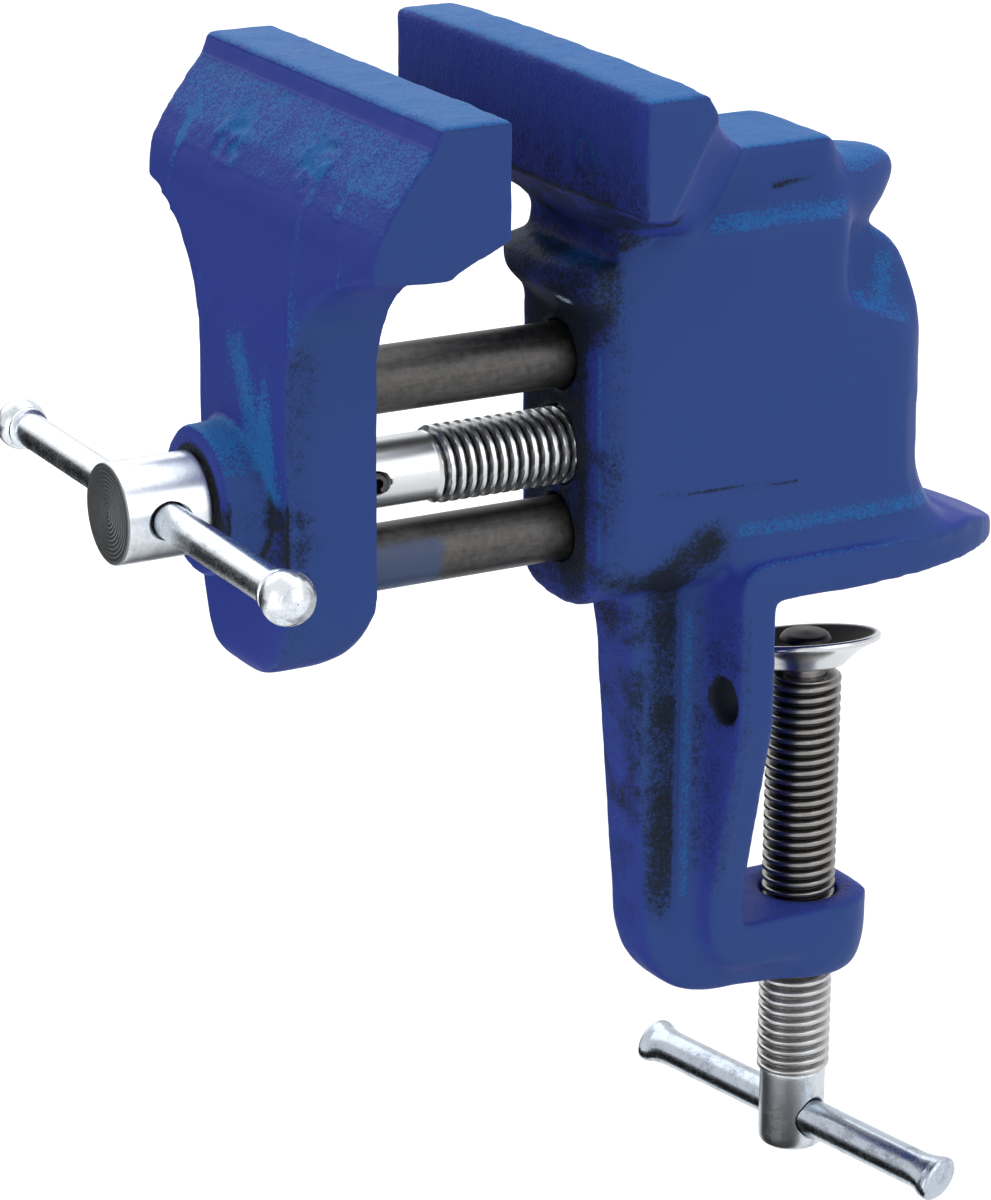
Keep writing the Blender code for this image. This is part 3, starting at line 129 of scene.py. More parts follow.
def lattice_noise(points: Array, cell: float, seed: int) -> Array:
    """Smooth noise from -1 to 1.

    Formula: each corner of a cubic lattice has a hashed random number, and a point takes the mean of
    the eight corners round it, weighted by 3t^2 - 2t^3 of its place in the cube.

    Args:
        points: places, one row of three each.
        cell: edge of the lattice's cubes.
        seed: picks another set of random numbers.

    Returns:
        One number for each point.
    """
    scaled = points / cell
    base = np.floor(scaled).astype(np.int64)
    t = ramp(scaled - base, 0, 1)
    total = np.zeros(len(points))
    for corner in np.ndindex(2, 2, 2):
        place = (base + corner).astype(np.uint64)
        key = place[:, 0] * np.uint64(73856093) ^ place[:, 1] * np.uint64(19349663)
        key ^= place[:, 2] * np.uint64(83492791) ^ np.uint64(seed * 2654435761)
        key ^= key >> np.uint64(15)
        key *= np.uint64(2246822519)
        key ^= key >> np.uint64(13)
        number = (key & np.uint64(0xFFFF)).astype(float) / 0x7FFF - 1
        total += number * np.prod(np.where(corner, t, 1 - t), axis=1)
    return total


def layered_noise(points: Array, cell: float, layers: int, seed: int) -> Array:
    """Noise of several sizes: each layer has half the cell and half the height of the one before."""
    total = np.zeros(len(points))
    for layer in range(layers):
        total += lattice_noise(points, cell / 2**layer, seed + layer) / 2**layer
    return total


def add_object(name: str, data: bpy.types.ID, matrix: Matrix | None = None) -> Piece:
    """Adds an object with this data to the scene, at the origin if no matrix places it."""
    made = bpy.data.objects.new(name, data)
    if matrix:
        made.matrix_world = matrix
    bpy.context.scene.collection.objects.link(made)
    return made


def mesh_object(name: str, points: Array, faces: list | Array) -> Piece:
    """An object at the origin with a smooth mesh of these points, in millimetres, and faces."""
    mesh = bpy.data.meshes.new(name)
    mesh.from_pydata((np.asarray(points) * MM).tolist(), [], [list(map(int, face)) for face in faces])
    mesh.shade_smooth()
    mesh.update()
    return add_object(name, mesh)


def wall_quads(count: int, around: int, closed: bool = False) -> Array:
    """The squares between rings of points, from each ring to the next and, if closed, from last to first."""
    i, j = np.meshgrid(np.arange(count if closed else count - 1), np.arange(around), indexing="ij")
    here, there, after = i * around, (i + 1) % count * around, (j + 1) % around
    return np.stack([here + j, here + after, there + after, there + j], axis=-1).reshape(-1, 4)


def tube(name: str, rings: Array) -> Piece:
    """A closed skin over rings of points, with a pole in the middle of each end.

    Formula: the point (i, j) is point j of ring i, j wraps round, and each pole is the mean of its ring.

    Args:
        name: name of the piece.
        rings: rings x points x 3, each ring anticlockwise as seen from where the next ones are.

    Returns:
        The piece.
    """
    count, around, _ = rings.shape
    j = np.arange(around)
    after, top = (j + 1) % around, (count - 1) * around
    start = np.stack([after, j, np.full(around, count * around)], axis=-1)
    end = np.stack([top + j, top + after, np.full(around, count * around + 1)], axis=-1)
    points = np.vstack([rings.reshape(-1, 3), rings[0].mean(0), rings[-1].mean(0)])
    return mesh_object(name, points, [*wall_quads(count, around), *start, *end])


def strip_tube(name: str, rings: Array) -> Piece:
    """A tube whose ends are one flat face each, for sections that don't enclose their own middle."""
    count, around, _ = rings.shape
    ends = [np.arange(around)[::-1], (count - 1) * around + np.arange(around)]
    piece = mesh_object(name, rings.reshape(-1, 3), [*wall_quads(count, around), *ends])
    piece.data.set_sharp_from_angle(angle=SHARP_ANGLE)
    return piece


def angles(steps: int) -> Array:
    """So many even angles round a whole turn."""
    return np.arange(steps) * TURN / steps


def rings_at(along: Array, wide: Array, thick: Array, angle: Array) -> Array:
    """Rings of points a cos t, b sin t and w, for each w of a column along, its a and b, and each angle t."""
    return np.stack([wide * np.cos(angle), thick * np.sin(angle), along * np.ones_like(angle)], axis=-1)


def rings_of_turning(profile: Array, steps: int) -> Array:
    """Rings of a turned shape: r cos t, r sin t and w, for each (r, w) of the profile and each angle t."""
    radius, along = profile[:, :1], profile[:, 1:]
    return rings_at(along, radius, radius, angles(steps))


def turning(name: str, profile: Array, steps: int) -> Piece:
    """A turned piece: its profile goes round its own Z axis, and poles close both ends."""
    return tube(name, rings_of_turning(profile, steps))


def closed_turning(name: str, profile: Array, steps: int) -> Piece:
    """A ring-shaped turned piece, whose profile is a closed loop that doesn't reach the axis."""
    rings = rings_of_turning(profile, steps)
    return mesh_object(name, rings.reshape(-1, 3), wall_quads(len(profile), steps, closed=True))


def softened(corners: list[Point], closed: bool = False, steps: int = 4) -> Array:
    """A profile whose corners are rounded.

    Formula: each corner with a radius is replaced by a quadratic curve, from the point that lies the
    radius before it on one side to the point that lies the radius after it on the other.

    Args:
        corners: (distance from the axis, place along it, radius) of each corner.
        closed: whether the last corner joins the first.
        steps: pieces of each rounding.

    Returns:
        Points x 2.
    """
    points = []
    count = len(corners)
    t = np.linspace(0, 1, steps + 1)[:, None]
    for k, (r, w, radius) in enumerate(corners):
        here = np.array([r, w])
        inner = closed or 0 < k < count - 1
        if not radius or not inner:
            points.append(here[None, :])
            continue
        sides = []
        for other in (corners[k - 1], corners[(k + 1) % count]):
            way = np.array(other[:2]) - here
            sides.append(here + way * min(radius / np.linalg.norm(way), 0.49))
        points.append((1 - t) ** 2 * sides[0] + 2 * t * (1 - t) * here + t**2 * sides[1])
    return np.vstack(points)


def dense(profile: Array, spacing: float) -> Array:
    """The same profile with extra points, so that none lie further apart than the spacing."""
    runs = []
    for start, end in zip(profile[:-1], profile[1:]):
        count = max(1, math.ceil(np.linalg.norm(end - start) / spacing))
        runs.append(start + (end - start) * np.arange(count)[:, None] / count)
    return np.vstack([*runs, profile[-1:]])


def lay(piece: Piece, axis: Axis, place: Point, turn: Matrix = Matrix.Identity(3)) -> None:
    """Turns and moves a piece's mesh, so that its object can stay at the origin."""
    piece.data.transform(Matrix.Translation(Vector(place) * MM) @ turn.to_4x4() @ axis.value.to_4x4())


def add_attribute(piece: Piece, name: str, values: Array) -> None:
    """Stores one number for each vertex, for the materials to read."""
    attribute = piece.data.attributes.new(name, "FLOAT", "POINT")
    attribute.data.foreach_set("value", np.asarray(values, np.float32))


def vertices_of(mesh: bpy.types.Mesh) -> tuple[Array, Array]:
    """Places, in millimetres, and normals of all vertices, each as rows of three."""
    places = np.empty(len(mesh.vertices) * 3)
    normals = np.empty(len(mesh.vertices) * 3)
    mesh.vertices.foreach_get("co", places)
    mesh.vertices.foreach_get("normal", normals)
    return places.reshape(-1, 3) / MM, normals.reshape(-1, 3)


def set_vertices(mesh: bpy.types.Mesh, places: Array) -> None:
    """Moves all vertices of a mesh to these places, in millimetres."""
    mesh.vertices.foreach_set("co", (places * MM).ravel())
    mesh.update()


def edges_of(mesh: bpy.types.Mesh) -> Array:
    """The two vertices of every edge."""
    pairs = np.empty(len(mesh.edges) * 2, np.int64)
    mesh.edges.foreach_get("vertices", pairs)
    return pairs.reshape(-1, 2)


def neighbour_mean(values: Array, pairs: Array) -> Array:
    """For each vertex, the mean of a value over the vertices that an edge joins to it."""
    count = len(values)
    ends = np.concatenate([pairs[:, 0], pairs[:, 1]])
    others = np.concatenate([pairs[:, 1], pairs[:, 0]])
    share = np.bincount(ends, minlength=count)
    columns = [np.bincount(ends, weights=column[others], minlength=count) for column in values.T]
    return np.stack(columns, axis=-1) / np.maximum(share, 1)[:, None]


def solid_box(node: str) -> tuple[Vector, Vector]:
    """Lowest and highest corner of a solid at rest, in millimetres."""
    low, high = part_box(node)
    return low / MM, high / MM


def apply_modifier(piece: Piece, name: str, kind: str, settings: dict) -> None:
    """Puts the result of a modifier with these settings into a piece's mesh."""
    modifier = piece.modifiers.new(name, kind)
    for key, setting in settings.items():
        setattr(modifier, key, setting)
    graph = bpy.context.evaluated_depsgraph_get()
    made = bpy.data.meshes.new_from_object(piece.evaluated_get(graph))
    piece.modifiers.clear()
    piece.data = made


def cut(piece: Piece, tool: Piece) -> None:
    """Takes a tool's shape out of a piece, removes the tool and keeps the new edges sharp."""
    apply_modifier(piece, "cut", "BOOLEAN", {"operation": "DIFFERENCE", "solver": "EXACT", "object": tool})
    bpy.data.objects.remove(tool)
    piece.data.shade_smooth()
    piece.data.set_sharp_from_angle(angle=SHARP_ANGLE)


def dress(piece: Piece, finish: "Finish", body: Body, nodes: tuple[str, ...]) -> None:
    """Gives a piece its finish, its body and the solids that it stands for."""
    piece.data.materials.clear()
    piece.data.materials.append(finish.material())
    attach(piece, body.value)
    if nodes:
        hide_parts(*nodes)
    LOG.info("%s: %d faces, rides on %s", piece.name, len(piece.data.polygons), body.value)


# Shader maths


class Value:
    """A number in a shader. Python's operators on it add Math nodes."""

    def __init__(self, graph: "Graph", socket: Socket) -> None:
        """Wraps an output socket of a graph."""
        self.graph = graph
        self.socket = socket

    def _math(self, operation: str, *numbers: "Value | float") -> "Value":
        """The result of a Math node on these numbers."""
        return self.graph.node("ShaderNodeMath", {"operation": operation}, dict(enumerate(numbers))).value("Value")

    def __add__(self, other: "Value | float") -> "Value":
        """self + other."""
        return self._math("ADD", self, other)

    def __sub__(self, other: "Value | float") -> "Value":
        """self - other."""
        return self._math("SUBTRACT", self, other)

    def __rsub__(self, other: float) -> "Value":
        """other - self."""
        return self._math("SUBTRACT", other, self)

    def __mul__(self, other: "Value | float") -> "Value":
        """self * other."""
        return self._math("MULTIPLY", self, other)

    def __truediv__(self, other: "Value | float") -> "Value":
        """self / other."""
        return self._math("DIVIDE", self, other)

    def __pow__(self, other: float) -> "Value":
        """self ** other."""
        return self._math("POWER", self, other)

    __radd__ = __add__

    def at_most(self, other: "Value | float") -> "Value":
        """The smaller of the two."""
        return self._math("MINIMUM", self, other)

    def sine(self) -> "Value":
        """The sine of the number, in radians."""
        return self._math("SINE", self)

    def step(self, low: float, high: float) -> "Value":
        """Smooth step from 0 at low to 1 at high, where low may be the larger one."""
        values = {"Value": self, "From Min": min(low, high), "From Max": max(low, high)}
        values |= {"To Min": float(low > high), "To Max": float(low <= high)}
        return self.graph.node("ShaderNodeMapRange", {"interpolation_type": "SMOOTHSTEP"}, values).value("Result")


class Made:
    """A node that has been made, whose outputs are asked for by name or number."""

    def __init__(self, graph: "Graph", node: bpy.types.Node) -> None:
        """Wraps a node of a graph."""
        self.graph = graph
        self.node = node

    def __getitem__(self, name: str | int) -> Socket:
        """The output socket of that name."""
        return self.node.outputs[name]

    def value(self, name: str | int) -> Value:
        """The output of that name, as a number for expressions."""
        return Value(self.graph, self[name])


class Graph:
    """The nodes of one material or world."""

    def __init__(self, owner: bpy.types.Material | bpy.types.World) -> None:
        """Empties the owner's node tree."""
        owner.use_nodes = True
        self.tree = owner.node_tree
        self.tree.nodes.clear()

    def node(self, kind: str, settings: dict | None = None, inputs: dict | None = None) -> Made:
        """Makes a node.

        Args:
            kind: its type.
            settings: its own settings.
            inputs: values or links of its sockets, by name or number.

        Returns:
            The node, for its outputs.
        """
        made = self.tree.nodes.new(kind)
        for name, setting in (settings or {}).items():
            setattr(made, name, setting)
        for name, given in (inputs or {}).items():
            socket = made.inputs[name]
            source = given.socket if isinstance(given, Value) else given
            if isinstance(source, Socket):
                self.tree.links.new(source, socket)
            else:
                socket.default_value = source
        return Made(self, made)

    def place(self) -> Socket:
        """The place on the object, in its own coordinates and in metres."""
        return self.node("ShaderNodeTexCoord")["Object"]

    def axes(self) -> list[Value]:
        """The place on the object as three numbers, in millimetres."""
        split = self.node("ShaderNodeSeparateXYZ", None, {0: self.place()})
        return [split.value(axis) / MM for axis in range(3)]

    def stretched(self, scale: tuple[float, float, float]) -> Socket:
        """The place, scaled by its own factor along each axis."""
        return self.node("ShaderNodeMapping", None, {"Vector": self.place(), "Scale": scale})["Vector"]

    def noise(self, size: float, detail: float = 2, roughness: float = 0.5, vector: Socket | None = None) -> Value:
        """Noise from 0 to 1, whose blotches are about this size."""
        inputs = {"Vector": vector or self.place(), "Scale": 1 / (size * MM), "Detail": detail, "Roughness": roughness}
        return self.node("ShaderNodeTexNoise", None, inputs).value("Fac")

    def attribute(self, name: str) -> Value:
        """A number that is stored on the vertices."""
        return self.node("ShaderNodeAttribute", {"attribute_name": name}).value("Fac")

    def mix(self, factor: Value, low: Colour | Socket, high: Colour | Socket) -> Socket:
        """The colour low at factor 0 and high at factor 1."""
        low, high = ((*colour, 1) if isinstance(colour, tuple) else colour for colour in (low, high))
        settings = {"data_type": "RGBA", "clamp_factor": True}
        return self.node("ShaderNodeMix", settings, {0: factor, 6: low, 7: high})[2]

    def bump(self, height: Value, distance: float) -> Socket:
        """The normal of a surface with that height, whose full step is the distance."""
        return self.node("ShaderNodeBump", None, {"Height": height, "Distance": distance * MM})["Normal"]

    def diffuse(self, colour: Colour) -> Socket:
        """A plain matt surface."""
        return self.node("ShaderNodeBsdfDiffuse", None, {"Color": (*colour, 1)})["BSDF"]

    def seen(self) -> Value:
        """1 for what the camera sees, itself, mirrored or through glass, and 0 for light that only shines."""
        path = self.node("ShaderNodeLightPath")
        camera, mirrored, glass = (path.value(f"Is {kind} Ray") for kind in ("Camera", "Glossy", "Transmission"))
        return (camera + mirrored + glass).at_most(1.0)

    def end(self, surface: Socket, kind: str = "Material") -> None:
        """Makes this surface the material's, or this background the world's."""
        self.node(f"ShaderNodeOutput{kind}", None, {"Surface": surface})


# Finishes


@dataclass(frozen=True)
class Finish(ABC):
    """A procedural finish, built anew for each piece that wears it."""

    name: str

    def material(self) -> bpy.types.Material:
        """Builds the material, as one Principled BSDF."""
        made = bpy.data.materials.new(self.name)
        graph = Graph(made)
        graph.end(graph.node("ShaderNodeBsdfPrincipled", None, self.inputs(graph))["BSDF"])
        return made

    @abstractmethod
    def inputs(self, graph: Graph) -> dict:
        """The inputs of the Principled BSDF, by name."""


@dataclass(frozen=True)
class CastEnamel(Finish):
    """Blue enamel sprayed over a sand-cast skin, with soot and oil where the pieces slide, and with painted shade and
    painted highlights.

    It reads what the casting stores on its vertices, each mostly from 0 to 1: "chalk" is the share of
    the skin that painted highlight specks cover, "flank" how far it faces sideways, where the coat is painted
    greyer blue and elsewhere violet as painted light, "soot" the share under soot and painted shade, "grit" how
    rough the sand left it, and "chip" the share of bare chips and, on the body's lip, of a painted highlight.
    """

    # Painted light: violet is the coat on faces turned from the light, blue on faces turned sideways into it.
    violet: Colour = (0.032, 0.052, 0.295)
    blue: Colour = (0.039, 0.078, 0.262)
    # Colour of the painted highlight specks, then of soot and painted shade.
    painted_highlight: Colour = (0.026, 0.140, 0.400)
    soot_and_shade: Colour = (0.016, 0.021, 0.033)
    chip: Colour = (0.42, 0.50, 0.62)
    sheen_tint: tuple[float, float, float, float] = (0.70, 0.90, 1.0, 1.0)
    shine: float = 0.06
    roughness: float = 0.38
    grain: float = 0.36
    grain_height: float = 0.22
    drift: float = 14

    def inputs(self, graph: Graph) -> dict:
        """Coat drawn violet where it faces front and blue where it faces sideways, as painted light, then painted
        highlight specks, soot with painted shade and chips in layers, over a grainy skin.
        """
        fine = graph.noise(self.grain, 2, 0.6)
        coarse = graph.noise(self.grain * 2.6, 2, 0.5)
        drift = graph.noise(self.drift, 3, 0.5)
        # Painted light: skin that faces sideways is drawn blue and the rest violet, with a little random drift.
        colour = graph.mix(graph.attribute("flank") * 0.9 + drift.step(0.3, 0.7) * 0.1, self.violet, self.blue)
        # Painted highlight: light specks over the coat, where the casting's highlight share says.
        highlit_share = (fine * 1.6 + coarse * 0.5 + graph.attribute("painted_highlight") * 0.9 - 1.55).step(0.0, 0.25)
        colour = graph.mix(highlit_share, colour, self.painted_highlight)
        # Soot, and painted shade, darken the coat where the casting's share says.
        soot_and_shade_cover = (fine * 1.5 + coarse * 0.9 + graph.attribute("soot_and_shade") * 1.3 - 1.95).step(0.0, 0.95)
        colour = graph.mix(soot_and_shade_cover, colour, self.soot_and_shade)
        bare = (fine * 0.9 + coarse * 0.9 + graph.attribute("chip") * 0.9 - 1.62).step(0.0, 0.12)
        height = (fine * 0.7 + coarse * 0.6) * (graph.attribute("grit") * 0.92 + 0.08)
        return {
            "Base Color": graph.mix(bare, colour, self.chip),
            "Roughness": self.roughness + drift * 0.10 - soot_and_shade_cover * 0.08,
            "Specular Tint": self.sheen_tint,
            "Specular IOR Level": self.shine,
            "Normal": graph.bump(height, self.grain_height),
        }


@dataclass(frozen=True)
class BrightZinc(Finish):
    """Zinc plate over turned or drawn steel, with a little handling haze. Its fine lines run round one axis."""

    axis: int
    light: Colour = (0.74, 0.78, 0.83)
    haze: Colour = (0.42, 0.46, 0.52)
    roughness: float = 0.20
    line: float = 0.22
    line_stretch: float = 0.12
    line_height: float = 0.018

    def inputs(self, graph: Graph) -> dict:
        """Clouds and specks of haze, and the lines that the tool left."""
        scale = tuple(1.0 if axis == self.axis else self.line_stretch for axis in range(3))
        lines = graph.noise(self.line, 3, 0.7, graph.stretched(scale))
        cloud = graph.noise(3.2, 4, 0.62)
        dull = (cloud * 0.7 + graph.noise(0.5, 3, 0.7) * 0.5).step(0.55, 0.85)
        return {
            "Base Color": graph.mix(dull, self.light, self.haze),
            "Metallic": 1.0,
            "Roughness": self.roughness + dull * 0.16 + lines * 0.06,
            "Normal": graph.bump(lines * 0.7 + cloud * 0.6, self.line_height),
        }


@dataclass(frozen=True)
class DarkBarSteel(Finish):
    """Dark drawn bar, mottled by mill scale and oil, with blue overspray next to the moving jaw."""

    dark: Colour = (0.052, 0.051, 0.050)
    brown: Colour = (0.112, 0.107, 0.103)
    blue: Colour = (0.024, 0.054, 0.140)
    overspray_ends: tuple[float, float] = (-67.0, -65.0)
    overspray_below: float = 13.0

    def inputs(self, graph: Graph) -> dict:
        """Mottled steel under a patch of overspray with a cloudy edge."""
        _, y, z = graph.axes()
        drawn = graph.noise(0.5, 3, 0.65, graph.stretched((1, 0.10, 1)))
        cloud = graph.noise(1.3, 4, 0.65)
        mottle = (cloud * 0.75 + drawn * 0.45).step(0.35, 0.90)
        start, end = self.overspray_ends
        near_jaw = (y + cloud * 4).step(end, start)
        sprayed = near_jaw * (z - cloud * 2).step(self.overspray_below + 1, self.overspray_below - 1)
        return {
            "Base Color": graph.mix(sprayed * 0.92, graph.mix(mottle, self.dark, self.brown), self.blue),
            "Metallic": 1 - sprayed,
            "Roughness": 0.42 + mottle * 0.16 - drawn * 0.1,
            "Normal": graph.bump(drawn * 0.5 + graph.noise(0.35, 2, 0.6) * 0.35, 0.03),
        }


@dataclass(frozen=True)
class RolledThreadSteel(Finish):
    """Rolled thread: crests rubbed bright and oil left in the roots, as the crest attribute says."""

    root: Colour = (0.035, 0.033, 0.032)
    crest: Colour = (0.52, 0.52, 0.52)
    tarnish: Colour = (0.26, 0.25, 0.24)
    tarnish_share: float = 0.6

    def inputs(self, graph: Graph) -> dict:
        """Clouds of tarnish on the metal, and oil over it wherever the crest is low."""
        bright = graph.attribute("bright")
        cloud = graph.noise(2.0, 4, 0.65)
        speck = graph.noise(0.3, 3, 0.7)
        metal = graph.mix((cloud + self.tarnish_share - 0.5 - bright).step(0.25, 0.7), self.crest, self.tarnish)
        oil = (graph.attribute("crest") + speck * 0.35 + bright * 0.22).step(0.75, 0.25)
        return {
            "Base Color": graph.mix(oil, metal, self.root),
            "Metallic": 1.0,
            "Roughness": 0.24 + speck * 0.14 + oil * 0.1,
            "Normal": graph.bump(speck * 0.5 + cloud * 0.5, 0.02),
        }


@dataclass(frozen=True)
class PressedSteel(Finish):
    """Bright pressed steel of the pad, with painted shade in its dish."""

    light: Colour = (0.60, 0.61, 0.63)
    dark: Colour = (0.008, 0.008, 0.009)

    def inputs(self, graph: Graph) -> dict:
        """Bright metal outside, and painted shade, a dull black, where the dish attribute says."""
        dish = graph.attribute("dish")
        cloud = graph.noise(2.0, 3, 0.6)
        return {
            "Base Color": graph.mix(dish, self.light, self.dark),
            "Metallic": 1 - dish,
            "Specular IOR Level": 0.03,
            "Roughness": 0.16 + cloud * 0.14 + dish * 0.3,
            "Normal": graph.bump(cloud, 0.03),
        }


@dataclass(frozen=True)
class TurnedHeadSteel(Finish):
    """Zinc-plated head of the spindle, whose front face is grey and shows the tool's rings."""

    front: float
    light: Colour = (0.72, 0.75, 0.79)
    haze: Colour = (0.50, 0.53, 0.57)
    face: Colour = (0.16, 0.165, 0.17)
    face_ring: Colour = (0.30, 0.31, 0.32)
    ring_spacing: float = 0.62

    def inputs(self, graph: Graph) -> dict:
        """Hazy plate on the side, and rings whose radius wobbles a little on the face."""
        x, y, z = graph.axes()
        radius = (x * x + (z - SPINDLE_HEIGHT) ** 2.0) ** 0.5
        rings = ((radius + graph.noise(1.5) * 0.12) * (TURN / self.ring_spacing)).sine() * 0.5 + 0.5
        on_face = y.step(self.front + 0.35, self.front + 0.2)
        cloud = graph.noise(3, 4, 0.6)
        speck = graph.noise(0.4, 3, 0.7)
        plate = graph.mix((cloud * 0.8 + speck * 0.4).step(0.5, 0.85), self.light, self.haze)
        face = graph.mix((rings * 0.7 + speck * 0.5).step(0.45, 1.0), self.face, self.face_ring)
        return {
            "Base Color": graph.mix(on_face, plate, face),
            "Metallic": 1.0,
            "Roughness": 0.24 + speck * 0.10 + on_face * 0.12,
            "Normal": graph.bump(rings * on_face * 0.8 + cloud * 0.4, 0.03),
        }


# Castings


@dataclass(frozen=True)
class Stroke:
    """A soft stroke on a casting: full on the straight way from start to end, fading out over its width."""

    start: Point
    end: Point
    width: float
    strength: float = 1.0

    def on(self, places: Array) -> Array:
        """How strong the stroke is at each place."""
        a, b = np.array(self.start), np.array(self.end)
        t = np.clip((places - a) @ (b - a) / ((b - a) @ (b - a)), 0, 1)
        distance = np.linalg.norm(places - a - t[:, None] * (b - a), axis=1)
        return self.strength * np.exp(-((distance / self.width) ** 2))


@dataclass
class Casting(ABC):
    """A sand-cast piece, grown from the skin of its solid."""

    name: str
    node: str
    body: Body
    finish: CastEnamel
    voxel: float = 0.62
    relax_rounds: int = 6
    relax_share: float = 0.5
    soft_rounds: int = 44
    wave_cell: float = 5.0
    wave_height: float = 0.09
    peel_cell: float = 1.5
    peel_height: float = 0.045
    seed: int = 3
    triangle_limit: int = 190_000

    def build(self) -> None:
        """Builds the piece and dresses it."""
        piece = self.skin()
        mesh = piece.data
        pairs = edges_of(mesh)
        self.relax(mesh, pairs, self.relax_rounds)
        self.relax(mesh, pairs, self.soft_rounds, self.softness(vertices_of(mesh)[0]))
        places, normals = vertices_of(mesh)
        # Painted highlights, and soot with painted shade, as shares of the skin.
        painted_highlight, soot_and_shade = self.painted_highlight(places, normals), self.soot_and_shade(places, normals)
        grit = np.maximum(ramp(painted_highlight, 0.1, 0.5), ramp(soot_and_shade, 0.2, 0.6))
        wave = layered_noise(places, self.wave_cell, 2, self.seed) * self.wave_height
        peel = layered_noise(places, self.peel_cell, 2, self.seed + 5) * self.peel_height * grit
        set_vertices(mesh, places + normals * (wave + peel + self.carve(places, normals))[:, None])
        # How far the skin faces sideways, which the finish draws as painted light.
        flank = ramp(np.abs(normals[:, 0]), 0.35, 0.88)
        marks = {"flank": flank, "grit": grit, "painted_highlight": painted_highlight, "soot_and_shade": soot_and_shade, "chip": self.chip(places)}
        for name, values in marks.items():
            add_attribute(piece, name, values)
        self.thin(piece)
        dress(piece, self.finish, self.body, (self.node,))

    def skin(self) -> Piece:
        """A copy of the solid's skin, welded and made an even net of small squares."""
        piece = add_object(self.name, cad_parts[self.node].data.copy())
        work = bmesh.new()
        work.from_mesh(piece.data)
        bmesh.ops.remove_doubles(work, verts=work.verts, dist=0.001 * MM)
        work.to_mesh(piece.data)
        work.free()
        settings = {"mode": "VOXEL", "voxel_size": self.voxel * MM, "use_smooth_shade": True}
        apply_modifier(piece, "net", "REMESH", settings)
        return piece

    def relax(self, mesh: bpy.types.Mesh, pairs: Array, rounds: int, share: Array | float = 1.0) -> None:
        """Rounds the edges: each vertex moves part of the way to the mean of its neighbours, over and over."""
        places, _ = vertices_of(mesh)
        part = self.relax_share * np.reshape(share, (-1, 1))
        for _ in range(rounds):
            places += (neighbour_mean(places, pairs) - places) * part
        set_vertices(mesh, places)

    def thin(self, piece: Piece) -> None:
        """Thins the net if it has too many faces."""
        triangles = len(piece.data.polygons) * 2
        if triangles > self.triangle_limit:
            apply_modifier(piece, "thin", "DECIMATE", {"ratio": self.triangle_limit / triangles})
            piece.data.shade_smooth()

    @abstractmethod
    def softness(self, places: Array) -> Array:
        """Where the casting blends in wide curves, from 0 to 1."""

    def painted_highlight(self, places: Array, normals: Array) -> Array:
        """The share of painted highlight specks, standing for light on upward faces: none on upright skin, half on a
        steep slope, nearly all on a level top.
        """
        rise = normals[:, 2]
        blotch = layered_noise(places, 7, 3, self.seed + 40) * 0.10
        share = 0.68 * ramp(rise, 0.38, 0.60) + 0.30 * ramp(rise, 0.70, 0.95)
        return np.clip(share + blotch * (share > 0.02), 0, 1)

    @abstractmethod
    def carve(self, places: Array, normals: Array) -> Array:
        """Marks of this casting, as heights along the normal."""

    @abstractmethod
    def soot_and_shade(self, places: Array, normals: Array) -> Array:
        """The share of the skin under soot and oil and under painted shade, above 1 where it is thick."""

    @abstractmethod
    def chip(self, places: Array) -> Array:
        """The share of bare chips and scratches."""


